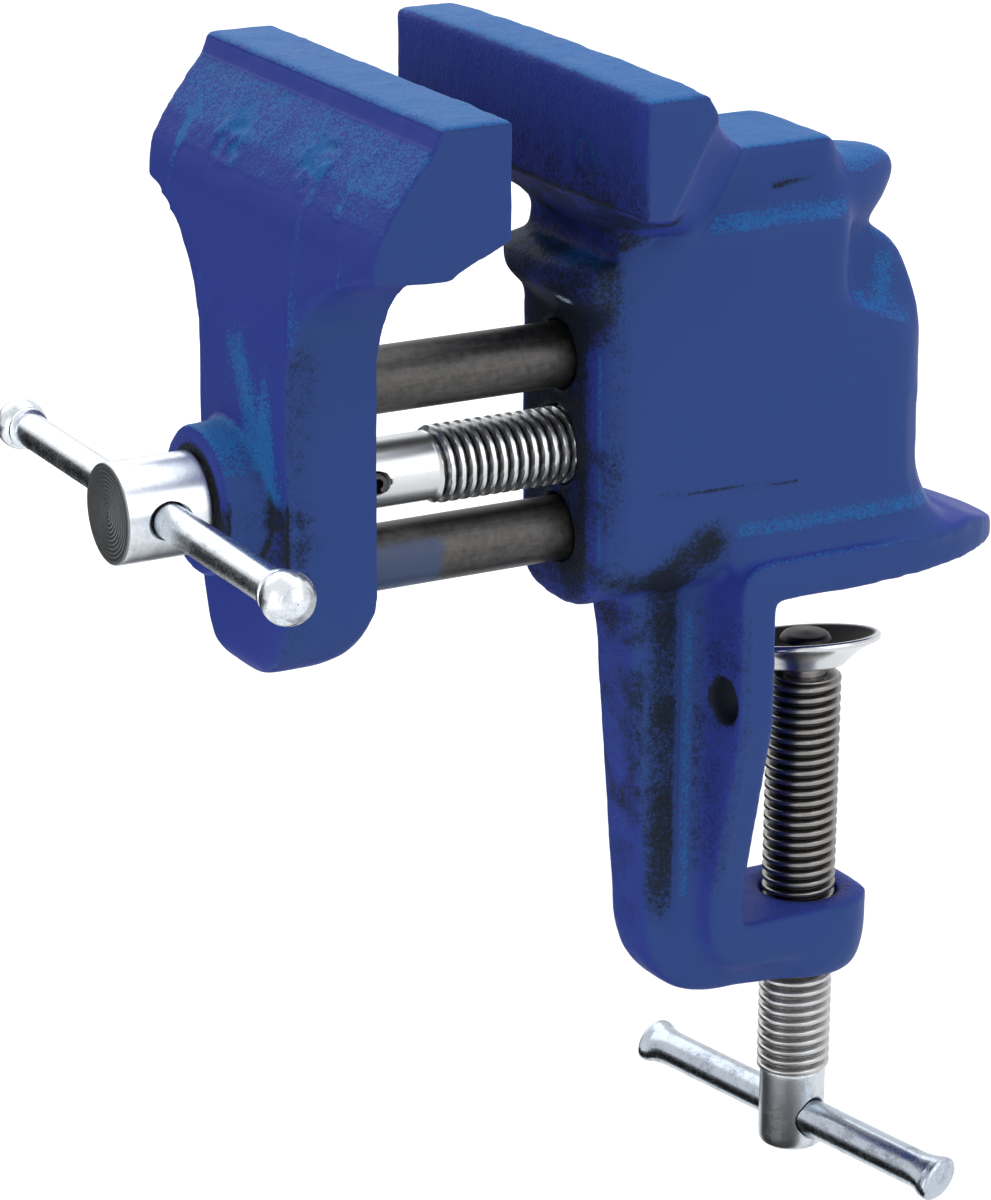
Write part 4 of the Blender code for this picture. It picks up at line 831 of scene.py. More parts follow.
@dataclass
class BodyCasting(Casting):
    """The fixed jaw, anvil, table and C-frame."""

    grip_y: float = -53.0
    grip_foot: float = 67.4
    front_y: float = -46.0
    bores: tuple[tuple[float, float], ...] = ((UPPER_BAR_HEIGHT, 5.3), (SPINDLE_HEIGHT, 6.2), (LOWER_BAR_HEIGHT, 5.3))
    plug: tuple[float, float] = (19.6, 73.4)
    plug_radius: float = 2.5
    plug_groove: float = 0.55
    hole: tuple[float, float] = (13.0, -16.6)
    ding: Stroke = Stroke((11.0, -15.7, 63.0), (10.6, -5.5, 64.3), 0.55, 0.35)
    ding_soot: Stroke = Stroke((11.0, -15.2, 63.1), (10.2, -5.2, 64.0), 0.6, 1.5)
    scratch: Stroke = Stroke((14.5, -36.2, 18.7), (14.5, -12.0, 17.7), 0.40, 1.2)
    # The wedge and the patch are painted shade.
    wedge: Stroke = Stroke((15, -43, 58), (15.4, -33, 59.8), 1.4, 0.9)
    patch: Stroke = Stroke((14.5, -27.5, 9.0), (12.0, -36.5, 2.5), 5.4)
    # The ledge, edge and hip strokes are painted highlight lines.
    ledge: Stroke = Stroke((12, -16, 59.2), (12.1, -3.3, 59.1), 2.4, 0.72)
    edge: Stroke = Stroke((11.5, -45.2, 42), (11.8, -45, 8), 0.7, 0.75)
    hip: Stroke = Stroke((8.5, 6.7, 48.3), (10, 5, 42.8), 3.2, 0.8)
    # The lip stroke is a painted highlight patch.
    lip: Stroke = Stroke((8, -48.6, 48.0), (5.5, -48.8, 48.8), 1.5, 1.1)

    def from_plug(self, x: Array, z: Array) -> tuple[Array, Array]:
        """How far each place is from the plugged screw's middle, and how near to the ring round it."""
        distance = np.hypot(x - self.plug[0], z - self.plug[1])
        return distance, np.exp(-(((distance - self.plug_radius) / self.plug_groove) ** 2))

    def from_hole(self, x: Array, z: Array) -> Array:
        """How far each place is from the axis of the fixing hole on its side."""
        return np.hypot(np.abs(x) - self.hole[0], z - self.hole[1])

    def on_grip(self, y: Array) -> Array:
        """1 on the gripping face."""
        return ramp(y, self.grip_y + 1.2, self.grip_y + 0.3)

    def softness(self, places: Array) -> Array:
        """The hip, clear of the upper bore, the flanks of the jaw's wings, the web and the arm's foot."""
        x, y, z = places.T
        width = np.abs(x)
        hip = ramp(y, -6.5, -2.5) * ramp(z, 27, 32) * ramp(np.hypot(x, z - UPPER_BAR_HEIGHT), 6.4, 8.8)
        flank = ramp(y, -44, -41) * ramp(z, 50, 54) * ramp(width, 13, 16) * ramp(width, 37, 34.5)
        web = ramp(y, -27, -29) * ramp(z, -4, -8) * 0.6
        return np.clip(hip + flank + np.maximum(web, ramp(z, -57, -60) * 0.9), 0, 1)

    def carve(self, places: Array, normals: Array) -> Array:
        """The ring mark of a plugged screw in the gripping face, and a ding on the near side."""
        x, y, z = places.T
        distance, ring = self.from_plug(x, z)
        on_face = ramp(y, self.grip_y + 1.0, self.grip_y + 0.5)
        return on_face * (ramp(distance, 2, 0) * 0.12 - ring * 0.38) - self.ding.on(places)

    def painted_highlight(self, places: Array, normals: Array) -> Array:
        """Painted highlights as on any casting, plus painted highlight lines on the ledge, the front corner, the hip,
        the valley, the web and the gripping face. The table lies in the body's shadow and gets only the painted
        highlights on its fillet's top, its rim and its hole's rim.
        """
        x, y, z = places.T
        share = super().painted_highlight(places, normals)
        table = ramp(z, 16, 13.5) * ramp(z, -1, 1)
        band = ramp(z, 9.2, 10.4) * ramp(z, 13.4, 11.8) * ramp(y, -25, -21) * 0.72
        rim = ramp(np.abs(x), 16.4, 17.2) * ramp(normals[:, 2], 0.3, 0.6) * 0.6
        hole = ramp(np.abs(self.from_hole(x, z) - 4.6), 0.9, 0.2) * ramp(y, -22.5, -23.5) * 0.6
        arm = ramp(z, -50, -54)
        valley = ramp(np.abs(y + 26), 1.1, 0.3) * ramp(z, -2, -4) * ramp(z, -54, -50) * 0.7
        web = ramp(y, -27, -30) * ramp(z, -2, -6) * 0.42
        face = self.on_grip(y) * ramp(z, self.grip_foot, self.grip_foot + 6)
        face *= np.maximum(self.from_plug(x, z)[1] * 0.85, 0.40)
        strokes = [stroke.on(places) for stroke in (self.ledge, self.edge, self.hip)]
        share = np.maximum(share * (1 - table) * (1 - arm * 0.6), np.max([valley, web, face, *strokes], axis=0))
        return np.clip(share + np.max([band, rim, hole], axis=0) * table, 0, 1)

    def soot_and_shade(self, places: Array, normals: Array) -> Array:
        """Painted shade: black on the front of the body and in the cove, fading up the gripping face and round the
        corner onto the sides, dark in the valley, on the web and the flange front, in two patches on the near side and
        inside the side holes. A dark ring round the clamp screw at the arm, and soot in the ding and along the scratch.
        """
        x, y, z = places.T
        width, foot = np.abs(x), self.grip_foot
        # Painted shade on the front, the gripping face, the valley, the plate, the web, the sides, the wedge, the patch
        # and in the holes; soot in the ding and along the scratch.
        blotch = layered_noise(places, 5, 3, 31)
        high = ramp(z, 34, 58)
        front = ramp(y - self.front_y, 3.4 + 4.2 * high, 0.4 + 0.4 * high) * ramp(z, foot + 1, foot - 1.5)
        front *= ramp(z, -1, 9) * 0.60 + 0.75 - 0.28 * ramp(z, 45, 51)
        front *= 1 - 0.62 * ramp(width, 7.5, 11.5) * ramp(z, 50, 34)
        face = self.on_grip(y) * ramp(z, foot - 1.5, foot)
        face *= 0.46 + 0.50 * ramp(z, foot + 16, foot - 1) + 0.12 * blotch
        valley = ramp(y, -37.5, -30) * ramp(y, -26.4, -28.6) * ramp(width, 4, 5.4)
        valley *= ramp(z, 6, 1) * ramp(z, -66, -46) * (1.20 + 0.22 * blotch)
        plate = ramp(y, -25.6, -25) * ramp(y, -20, -22) * 0.78
        plate *= ramp(z, 1, -3) * ramp(z, -58, -44) * (1 + 0.3 * blotch)
        web = ramp(y, -30, -34) * ramp(z, 3, -3) * 0.86 * (1 + 0.5 * blotch)
        side = ramp(y, -37, -44) * ramp(z, 0, 6) * ramp(z, 60, 52) * 0.74 * (1 + 0.35 * blotch)
        marks = np.max([valley, plate, web], axis=0) + self.ding_soot.on(places) + self.scratch.on(places) + side
        collar = ramp(z, -58, -56) * ramp(z, -53, -55) * ramp(np.hypot(x, y), 11, 7) * 1.1
        holes = 1.5 * ramp(self.from_hole(x, z), 4.1, 3.6) * ramp(z, -30, -25)
        total = np.maximum(front * (0.98 + 0.2 * blotch) + face, marks) + self.wedge.on(places)
        return np.clip(total + self.patch.on(places) * (1.25 + 0.2 * blotch) + collar + holes, 0, 1.5)

    def chip(self, places: Array) -> Array:
        """A painted highlight patch on the lip under the jaw, drawn in the chip colour, and chips round the bores."""
        x, y, z = places.T
        rims = np.zeros(len(places))
        for height, radius in self.bores:
            away = np.abs(np.hypot(x, z - height) - radius)
            rims = np.maximum(rims, ramp(away, 0.9, 0.2) * ramp(y, self.front_y + 1, self.front_y + 0.4))
        return np.clip(self.lip.on(places) + rims * 0.72, 0, 1)


@dataclass
class JawCasting(Casting):
    """The moving jaw with its column."""

    lump_places: tuple[Point, ...] = ((-14, 73.5, 7.0), (12, 75.0, 6.5))
    heel_corner: Point = (37.5, -95, 61.5)
    # The band is a painted highlight streak down the column's front.
    band: Stroke = Stroke((3, -99, 47), (11, -99, 27), 4.0, 0.9)
    end_line: Stroke = Stroke((37.4, -93.5, 70), (37.4, -94.2, 66.8), 0.35, 0.7)
    parting_line: Stroke = Stroke((-1.9, -99, 52.5), (-12.8, -98.5, 38.3), 0.35, 0.6)

    def softness(self, places: Array) -> Array:
        """The bulge where the head flows into the neck, the column's foot and the head's heel corners."""
        x, y, z = places.T
        bulge = ramp(y, -82, -86) * ramp(z, 50, 56) * ramp(z, 79.5, 76.5) * ramp(np.abs(x), 37, 35)
        from_corner = np.linalg.norm(np.stack([np.abs(x), y, z], axis=-1) - self.heel_corner, axis=1)
        return np.max([bulge * 0.18, ramp(z, 9, 4) * 0.9, ramp(from_corner, 8, 3)], axis=0)

    def lumps(self, places: Array) -> Array:
        """Two wrinkled patches, as folded noise inside round masks at (x, z, radius) of each."""
        x, _, z = places.T
        masks = [ramp(np.hypot(x - a, (z - b) * 1.3), radius, radius * 0.25) for a, b, radius in self.lump_places]
        return np.sum(masks, axis=0) * layered_noise(places, 2.4, 2, 91)

    def carve(self, places: Array, normals: Array) -> Array:
        """The wrinkled lumps."""
        return ramp(normals[:, 1], -0.3, -0.6) * self.lumps(places) * 0.9

    def painted_highlight(self, places: Array, normals: Array) -> Array:
        """Painted highlights as on any casting, with painted highlight specks on two wrinkled lumps on the front slope,
        in speckled runs below them and in a band down the column's front.
        """
        z = places[:, 2]
        streak = layered_noise(places * np.array([1.0, 0.3, 0.10]), 3.5, 2, 77)
        runs = ramp(streak, 0.1, 0.7) * ramp(z, 8, 58) * ramp(z, 78, 70) * 0.62
        marks = runs + 0.9 * np.abs(self.lumps(places)) + self.band.on(places)
        return np.clip(super().painted_highlight(places, normals) + ramp(normals[:, 1], -0.2, -0.6) * marks, 0, 1)

    def soot_and_shade(self, places: Array, normals: Array) -> Array:
        """A dark smear below the spindle's boss, darker skin on the front of the column's sides below the head, and
        painted shadow as a black ring round the head.
        """
        x, y, z = places.T
        blotch = layered_noise(places, 4, 2, 57)
        smear = ramp(np.hypot(x - 12, z - 21), 8, 3) * ramp(normals[:, 1], -0.1, -0.7)
        side = ramp(np.abs(normals[:, 0]), 0.5, 0.8) * ramp(y, -88, -96) * ramp(z, 58, 46)
        # Painted shadow: a black ring on the boss round the spindle's head.
        ring = ramp(np.hypot(x, z - SPINDLE_HEIGHT), 9.0, 8.2) * ramp(y, -97, -99) * 1.5
        return np.clip(ring + smear * (1.25 + 0.35 * blotch) + side * (0.70 + 0.3 * blotch), 0, 1.5)

    def chip(self, places: Array) -> Array:
        """The thin bright line along the end of the front slope, and the one on the parting line."""
        return np.clip(self.end_line.on(places) + self.parting_line.on(places), 0, 1)


# Turned pieces


@dataclass
class GuideBar:
    """A plain round bar that the moving jaw slides on."""

    name: str
    node: str
    height: float
    finish: DarkBarSteel
    radius: float = 5.0
    chamfer: float = 0.8
    steps: int = 96

    def build(self) -> None:
        """A cylinder with chamfered ends along the solid's own length."""
        low, high = solid_box(self.node)
        inner = self.radius - self.chamfer
        ends = [(0, low.y, 0), (inner, low.y, 0.2), (self.radius, low.y + self.chamfer, 0.3)]
        ends += [(self.radius, high.y - self.chamfer, 0.3), (inner, high.y, 0.2), (0, high.y, 0)]
        piece = turning(self.name, dense(softened(ends), 2)[1:-1], self.steps)
        lay(piece, Axis.Y, (0, 0, self.height))
        dress(piece, self.finish, Body.JAW, (self.node,))


@dataclass
class Thread:
    """A rolled right-hand thread along a turned piece, from one plain radius to another."""

    low: float
    high: float
    low_radius: float
    high_radius: float
    crest_radius: float = 5.9
    depth: float = 1.05
    pitch: float = 1.75
    rows_per_pitch: int = 14
    crest_share: float = 0.60
    steepness: float = 0.95
    run_out: float = 1.6

    def rings(self, steps: int) -> tuple[Array, Array]:
        """Rings of the thread and how far each point stands over the root, from 0 to 1.

        Formula: h is the cosine of the helix phase, along / pitch - angle / turn, cut off flat at the
        crest and at the root. The radius goes from the root's to the crest's with h, and at both ends
        it runs out over a short way into the radius of the plain piece there.
        """
        count = math.ceil((self.high - self.low) / self.pitch * self.rows_per_pitch)
        along = np.linspace(self.low, self.high, count + 1)[:, None]
        angle = angles(steps)
        h = ramp(self.crest_share + self.steepness * np.cos(TURN * along / self.pitch - angle), 0, 1)
        start = ramp(along, self.low + self.run_out, self.low)
        end = ramp(along, self.high - self.run_out, self.high)
        radius = (self.crest_radius - self.depth * (1 - h)) * (1 - start - end)
        radius += self.low_radius * start + self.high_radius * end
        return rings_at(along, radius, radius, angle), h * (1 - start - end) + (start + end)


def cross_hole(radius: float, reach: float, place: Point, turn: Matrix = Matrix.Identity(3)) -> Piece:
    """A round tool along X through a turned piece, whose hole has a slight countersink at both ends."""
    rim = 0.35
    half = [(radius, reach - rim), (radius + rim, reach), (radius + 2 * rim, reach + rim)]
    profile = np.array([*((r, -w) for r, w in half[::-1]), *half])
    tool = turning("tool", profile, 48)
    lay(tool, Axis.X, place, turn)
    return tool


@dataclass
class Spindle:
    """The main screw: a cross-drilled head, a plain shank with its washer and spring pin, and the thread."""

    head_radius: float = 7.5
    head_length: float = 13.3
    head_edge: float = 0.5
    face_rings: int = 11
    face_ring_depth: float = 0.05
    hole_radius: float = 2.95
    shank_radius: float = 5.2
    thread_start: float = -68.7
    thread_tail: float = 1.6
    washer_edge: float = 0.35
    pin_radius: float = 1.6
    pin_wall: float = 0.6
    pin_edge: float = 0.25
    pin_slit: float = math.radians(26)
    pin_hole_radius: float = 1.75
    steps: int = 96

    def build(self) -> None:
        """Builds the head, the screw, the washer and the pin."""
        low, high = solid_box("main_spindle")
        pin_y = sum(corner.y for corner in solid_box("spindle_roll_pin")) / 2
        self.build_head(low.y)
        self.build_screw(low.y + self.head_length, high.y, pin_y)
        self.build_washer()
        self.build_pin(pin_y)

    def build_head(self, front: float) -> None:
        """The head: its turned face has fine rings, and the tommy bar's hole goes across it."""
        radius, edge, back = self.head_radius, self.head_edge, front + self.head_length
        radii = np.linspace(0.2, radius - edge * 1.6, self.face_rings * 8)
        wave = 0.5 - 0.5 * np.cos(TURN * radii / radii[-1] * self.face_rings)
        face = np.stack([radii, front + wave * self.face_ring_depth], axis=-1)
        side = [(radius - edge * 1.5, front, 0), (radius - edge * 0.2, front, edge * 0.6), (radius, front + edge, edge)]
        side += [(radius, back, edge), (self.shank_radius, back, 0)]
        piece = turning("spindle_head", np.vstack([face, dense(softened(side), 0.6)]), self.steps)
        lay(piece, Axis.Y, (0, 0, SPINDLE_HEIGHT))
        cut(piece, cross_hole(self.hole_radius, radius - 0.2, (0, front + self.head_length / 2, SPINDLE_HEIGHT)))
        dress(piece, TurnedHeadSteel("turned_head", front), Body.SPINDLE, ("main_spindle",))

    def build_screw(self, front: float, end: float, pin_y: float) -> None:
        """Shank and thread in one skin, with the hole of the spring pin."""
        radius = self.shank_radius
        thread = Thread(self.thread_start, end - self.thread_tail, radius, 4.9)
        rings, crest = thread.rings(self.steps)
        shank = dense(np.array([(radius, front - 1), (radius, self.thread_start - 0.1)]), 1)
        tail = np.array([(4.8, end - 1.2), (4.2, end)])
        before, after = (rings_of_turning(profile, self.steps) for profile in (shank, tail))
        piece = tube("spindle_screw", np.concatenate([before, rings, after]))
        plain, bare = np.ones(before.shape[:2]), np.zeros(after.shape[:2])
        add_attribute(piece, "crest", [*plain.ravel(), *crest.ravel(), *bare.ravel(), 1, 0])
        add_attribute(piece, "bright", np.full(len(piece.data.vertices), 0.25))
        lay(piece, Axis.Y, (0, 0, SPINDLE_HEIGHT))
        cut(piece, cross_hole(self.pin_hole_radius, radius - 0.1, (0, pin_y, SPINDLE_HEIGHT)))
        finish = RolledThreadSteel("spindle_thread", crest=(0.60, 0.61, 0.62), tarnish=(0.36,) * 3, tarnish_share=0.45)
        dress(piece, finish, Body.SPINDLE, ())

    def build_washer(self) -> None:
        """The thick washer behind the moving jaw."""
        low, high = solid_box("thrust_washer")
        inner, edge = self.shank_radius + 0.2, self.washer_edge
        loop = [(inner, low.y, edge), (high.x, low.y, edge), (high.x, high.y, edge), (inner, high.y, edge)]
        piece = closed_turning("washer", softened(loop, closed=True), self.steps)
        lay(piece, Axis.Y, (0, 0, SPINDLE_HEIGHT))
        dress(piece, BrightZinc("washer_zinc", axis=1), Body.SPINDLE, ("thrust_washer",))

    def build_pin(self, pin_y: float) -> None:
        """The slit spring pin: a rolled strip, whose section is an open ring."""
        low, high = solid_box("spindle_roll_pin")
        outer, edge = self.pin_radius, self.pin_edge
        angle = np.linspace(-math.pi / 2 + self.pin_slit, 1.5 * math.pi - self.pin_slit, 40)
        ring = np.stack([np.cos(angle), np.sin(angle)], axis=-1)
        loop = np.vstack([ring * outer, ring[::-1] * (outer - self.pin_wall)])
        scale = 1 - np.array([edge, 0, 0, edge])[:, None, None] / outer
        along = np.array([low.x, low.x + edge, high.x - edge, high.x])[:, None, None]
        rings = np.concatenate([loop * scale, np.broadcast_to(along, (4, len(loop), 1))], axis=-1)
        piece = strip_tube("spring_pin", rings)
        lay(piece, Axis.X, (0, pin_y, SPINDLE_HEIGHT))
        dress(piece, DarkBarSteel("dark_pin"), Body.SPINDLE, ("spindle_roll_pin",))


@dataclass
class TommyBar:
    """The bar through the spindle's head, with a ball knob at each end."""

    radius: float = 2.65
    ball_radius: float = 3.9
    flat_at: float = 3.2
    dome: float = 0.12
    collar_radius: float = 3.25
    collar_length: float = 1.1
    steps: int = 72

    def build(self) -> None:
        """Builds the bar and both knobs."""
        low, high = solid_box("main_tommy_bar")
        y = (low.y + high.y) / 2
        profile = dense(np.array([(self.radius, low.x), (self.radius, high.x)]), 1)
        piece = turning("tommy_rod", profile, self.steps)
        lay(piece, Axis.X, (0, y, SPINDLE_HEIGHT))
        dress(piece, BrightZinc("bar_zinc", axis=0), Body.HANDLE, ("main_tommy_bar",))
        near, far = Matrix.Identity(3), Matrix.Rotation(math.pi, 3, "Z")
        self.build_knob("near_knob", "tommy_knob_near", solid_box("tommy_knob_near")[1].x, y, near)
        self.build_knob("far_knob", "tommy_knob_far", -solid_box("tommy_knob_far")[0].x, y, far)

    def build_knob(self, name: str, node: str, end: float, y: float, turn: Matrix) -> None:
        """A ball with a slightly domed flat end and a short collar round the bar."""
        start = math.acos((self.flat_at - self.dome) / self.ball_radius)
        stop = math.pi - math.asin((self.collar_radius - 0.1) / self.ball_radius)
        angle = np.linspace(start, stop, 24)
        along = end - self.flat_at + self.ball_radius * np.cos(angle)
        ball = np.stack([self.ball_radius * np.sin(angle), along], axis=-1)
        radii, drops = [0.1, 0.8, 1.5, ball[0, 0] * 0.96], [0, 0.12, 0.45, 0.9]
        face = np.stack([radii, end - self.dome * np.array(drops)], axis=-1)
        outer, foot = self.collar_radius, along[-1]
        back = foot - self.collar_length
        collar = [(outer - 0.25, foot - 0.05, 0), (outer, foot - 0.3, 0.2)]
        collar += [(outer, back, 0.3), (self.radius, back - 0.15, 0)]
        piece = turning(name, np.vstack([face, ball, softened(collar)])[::-1], self.steps)
        lay(piece, Axis.X, (0, y, SPINDLE_HEIGHT), turn)
        finish = BrightZinc(name + "_zinc", axis=0, roughness=0.22)
        dress(piece, finish, Body.HANDLE, (node,))


@dataclass
class ClampScrew:
    """The screw below the table: a peened tip that holds the pad, the thread and a cross-drilled head."""

    head_radius: float = 5.35
    thread_low: float = -88.6
    thread_high: float = -20.1
    hole_radius: float = 3.2
    neck: tuple[float, float] = (3.2, 2.5)
    neck_ends: tuple[float, float, float] = (-19.8, -17.0, -14.3)
    tip_radii: tuple[float, float] = (4.2, 3.6)
    steps: int = 96

    def build(self) -> None:
        """Builds the head and the screw."""
        low, high = solid_box("clamp_screw")
        self.build_head(low.z)
        self.build_screw(high.z)

    def build_head(self, foot: float) -> None:
        """The head, with the bar's hole across it."""
        radius, top = self.head_radius, self.thread_low
        head = [(0.2, foot, 0), (radius - 0.3, foot, 1.2), (radius, foot + 1.2, 1.0)]
        head += [(radius, top + 0.2, 0.3), (4.9, top + 0.6, 0)]
        piece = turning("clamp_head", dense(softened(head), 0.6), self.steps)
        turn = Matrix.Rotation(CLAMP_BAR_BEARING, 3, "Z")
        cut(piece, cross_hole(self.hole_radius, radius - 0.2, (0, 0, CLAMP_BAR_HEIGHT), turn))
        light, haze = (0.62, 0.65, 0.69), (0.34, 0.36, 0.39)
        finish = BrightZinc("clamp_head_zinc", axis=2, light=light, haze=haze, roughness=0.28)
        dress(piece, finish, Body.CLAMP, ("clamp_screw",))

    def build_screw(self, top: float) -> None:
        """Thread, neck and tip in one skin. It is brighter near the head, where no nut has rubbed oil on it."""
        thick, thin = self.neck
        foot, step, cap = self.neck_ends
        wide, narrow = self.tip_radii
        thread = Thread(self.thread_low, self.thread_high, 5.1, 5.4, crest_share=0.55, steepness=0.85, run_out=0.3)
        rings, crest = thread.rings(self.steps)
        tip = [(5.2, self.thread_high + 0.2, 0), (thick, foot, 0.1), (thick, step, 0.1), (thin, step + 0.2, 0.1)]
        tip += [(thin, cap, 0.1), (wide, cap, 0.2), (narrow, top - 0.4, 0.5), (0.3, top, 0)]
        after = rings_of_turning(dense(softened(tip), 0.5), self.steps)
        piece = tube("clamp_thread", np.concatenate([rings, after]))
        # Painted shade: the thin neck and the tip in the pad's dish get the dark root colour.
        plain = ramp(after[..., 2], step + 0.2, step - 0.2)
        add_attribute(piece, "crest", [*crest.ravel(), *plain.ravel(), 1, 0])
        add_attribute(piece, "bright", ramp(vertices_of(piece.data)[0][:, 2], -66, -76))
        finish = RolledThreadSteel("clamp_thread_steel", tarnish_share=0.75)
        dress(piece, finish, Body.CLAMP, ())


@dataclass
class Pad:
    """The dished pad, leaning as it hangs on the tip of the screw."""

    rim_radius: float = 12.3
    bore_radius: float = 3.6
    foot: float = -2.75
    lean_to_near: float = math.radians(-11)
    lean_to_rear: float = math.radians(-4)
    bearing: float = math.radians(61)
    height: float = -16.15
    steps: int = 96

    def build(self) -> None:
        """A pressed disc: dish, rolled rim and a cone below it."""
        bore, outer, foot = self.bore_radius, self.rim_radius, self.foot
        loop = [(bore, 0, 0.3), (5.75, 0, 1.2), (outer - 1.4, 2.3, 0.9), (outer - 0.2, 2.4, 0.5), (outer, 1.4, 0.7)]
        loop += [(8.9, 0.05, 1.8), (6.1, -2.5, 0.8), (5.6, foot, 0.3), (bore, foot, 0.3)]
        piece = closed_turning("pad", softened(loop, closed=True, steps=6)[::-1], self.steps)
        places, normals = vertices_of(piece.data)
        # Painted shade: the dish, under the table, is drawn dull black.
        inside = ramp(np.hypot(places[:, 0], places[:, 1]), outer - 0.6, outer - 1.6)
        add_attribute(piece, "dish", inside * (normals[:, 2] > 0.2))
        lean = Matrix.Rotation(self.lean_to_rear, 3, "Y") @ Matrix.Rotation(self.lean_to_near, 3, "X")
        bearing = Matrix.Rotation(self.bearing, 3, "Z")
        lay(piece, Axis.Z, (0, 0, self.height), bearing @ lean @ bearing.transposed())
        dress(piece, PressedSteel("pad_steel"), Body.PAD, ("swivel_pad",))


@dataclass
class ClampBar:
    """The bar through the clamp screw's head, whose ends are swaged so that it cannot fall out.

    Each row of the swage is its share of half the length, and the half width and half thickness there
    as shares of the radius.
    """

    radius: float = 3.0
    length: float = 68.5
    roll: float = math.radians(35)
    swage: tuple[Point, ...] = (
        (0, 1, 1),
        (0.84, 1, 1),
        (0.88, 1.03, 0.97),
        (0.915, 1.12, 0.90),
        (0.945, 1.26, 0.86),
        (0.97, 1.32, 0.92),
        (0.987, 1.30, 0.95),
        (0.996, 1.18, 0.88),
        (1.0, 1.0, 0.74),
    )
    steps: int = 72

    def build(self) -> None:
        """A round bar whose section turns from a circle to an ellipse at both ends.

        Formula: ring i lies at its own place along the bar, with half width a(i) and half thickness
        b(i), and holds the points a cos t and b sin t.
        """
        half = self.length / 2
        knots, wide, thick = np.array(self.swage).T * np.array([[half], [self.radius], [self.radius]])
        along = np.concatenate([np.linspace(0, knots[1], 30)[:-1], np.linspace(knots[1], half, 36)])
        along = np.concatenate([-along[:0:-1], along])
        a, b = (np.interp(np.abs(along), knots, sizes)[:, None] for sizes in (wide, thick))
        piece = tube("clamp_rod", rings_at(along[:, None], a, b, angles(self.steps)))
        turn = Matrix.Rotation(CLAMP_BAR_BEARING, 3, "Z") @ Matrix.Rotation(self.roll, 3, "X")
        lay(piece, Axis.X, (0, 0, CLAMP_BAR_HEIGHT), turn)
        # Painted shade: this zinc is drawn darker than the other bars', standing for the darker things it mirrors.
        finish = BrightZinc("clamp_bar_shaded_zinc", axis=0, light=(0.48, 0.53, 0.60), haze=(0.25, 0.28, 0.33))
        dress(piece, finish, Body.CLAMP_HANDLE, ("clamp_tommy_bar",))


# Studio


def direction(azimuth: float, elevation: float) -> Vector:
    """The way out from the part at these degrees, where azimuth 0 is -Y and 90 is +X."""
    a, e = math.radians(azimuth), math.radians(elevation)
    return Vector((math.sin(a) * math.cos(e), -math.cos(a) * math.cos(e), math.sin(e)))


def level_corners(left: float, right: float, front: float, back: float, height: float) -> list[Point]:
    """The corners of a level rectangle."""
    return [(left, front, height), (right, front, height), (right, back, height), (left, back, height)]


@dataclass(frozen=True)
class Camera:
    """The photograph's viewpoint, in millimetres and degrees."""

    azimuth: float = 61.207
    elevation: float = 19.047
    roll: float = 0.31
    back: float = 612.15
    aside: float = -3.573
    up: float = -79.307
    pivot: Point = (0, -53, 84.4)
    focal_pixels: float = 4215.71
    centre_pixel: tuple[float, float] = (493.203, 601.037)
    image: tuple[int, int] = (991, 1200)
    sensor: float = 36.0

    def build(self) -> None:
        """Places the camera and makes it the scene's own."""
        azimuth, roll = math.radians(self.azimuth), math.radians(self.roll)
        back = direction(self.azimuth, self.elevation)
        right = Vector((math.cos(azimuth), math.sin(azimuth), 0))
        up = back.cross(right)
        right, up = right * math.cos(roll) + up * math.sin(roll), up * math.cos(roll) - right * math.sin(roll)
        width, height = self.image
        data = bpy.data.cameras.new("camera")
        data.sensor_fit = "VERTICAL"
        data.sensor_height = self.sensor
        data.sensor_width = self.sensor
        data.lens = self.focal_pixels * self.sensor / height
        data.shift_x = (width / 2 - self.centre_pixel[0]) / height
        data.shift_y = (self.centre_pixel[1] - height / 2) / height
        data.clip_start = 0.01
        place = (Vector(self.pivot) + back * self.back + right * self.aside + up * self.up) * MM
        matrix = Matrix.Translation(place) @ Matrix((right, up, back)).transposed().to_4x4()
        bpy.context.scene.camera = add_object("camera", data, matrix)


@dataclass(frozen=True)
class Lamp:
    """A soft rectangular lamp. Level 1 lights a white card at the target to plain white."""

    name: str
    azimuth: float
    elevation: float
    distance: float
    size: tuple[float, float]
    level: float
    colour: Colour = WHITE
    target: Point = (0, -45, 10)

    def build(self) -> None:
        """Places the lamp and aims it."""
        way = direction(self.azimuth, self.elevation)
        data = bpy.data.lights.new(self.name, "AREA")
        data.shape = "RECTANGLE"
        data.size, data.size_y = (side * MM for side in self.size)
        data.energy = self.level * (math.pi * self.distance * MM) ** 2
        data.color = self.colour
        place = (Vector(self.target) + way * self.distance) * MM
        add_object(self.name, data, Matrix.Translation(place) @ way.to_track_quat("Z", "Y").to_matrix().to_4x4())


@dataclass(frozen=True)
class DarkCard:
    """A bent dark card that only reflections show, as a photographer sets beside bright metal."""

    name: str = "dark_card"
    near: float = -340
    far: float = -1500
    front: float = -1600
    back: float = 300
    wall_back: float = -220
    wall_height: float = 460
    lift: float = 4
    turn: float = 0
    colour: Colour = (0.004, 0.005, 0.007)

    def build(self, floor: float) -> None:
        """Lays the card just over the floor, out of sight of the camera and of all light but mirrored light."""
        height = floor + self.lift
        top = height + self.wall_height
        corners = level_corners(self.far, self.near, self.front, self.back, height)
        corners += [(self.far, self.wall_back, height), (self.far, self.wall_back, top), (self.far, self.front, top)]
        card = mesh_object(self.name, np.array(corners), [(0, 1, 2, 3), (0, 4, 5, 6)])
        card.data.transform(Matrix.Rotation(self.turn, 4, "Z"))
        made = bpy.data.materials.new("card_black")
        graph = Graph(made)
        graph.end(graph.diffuse(self.colour))
        card.data.materials.append(made)
        card.visible_camera = card.visible_diffuse = card.visible_shadow = card.visible_transmission = False


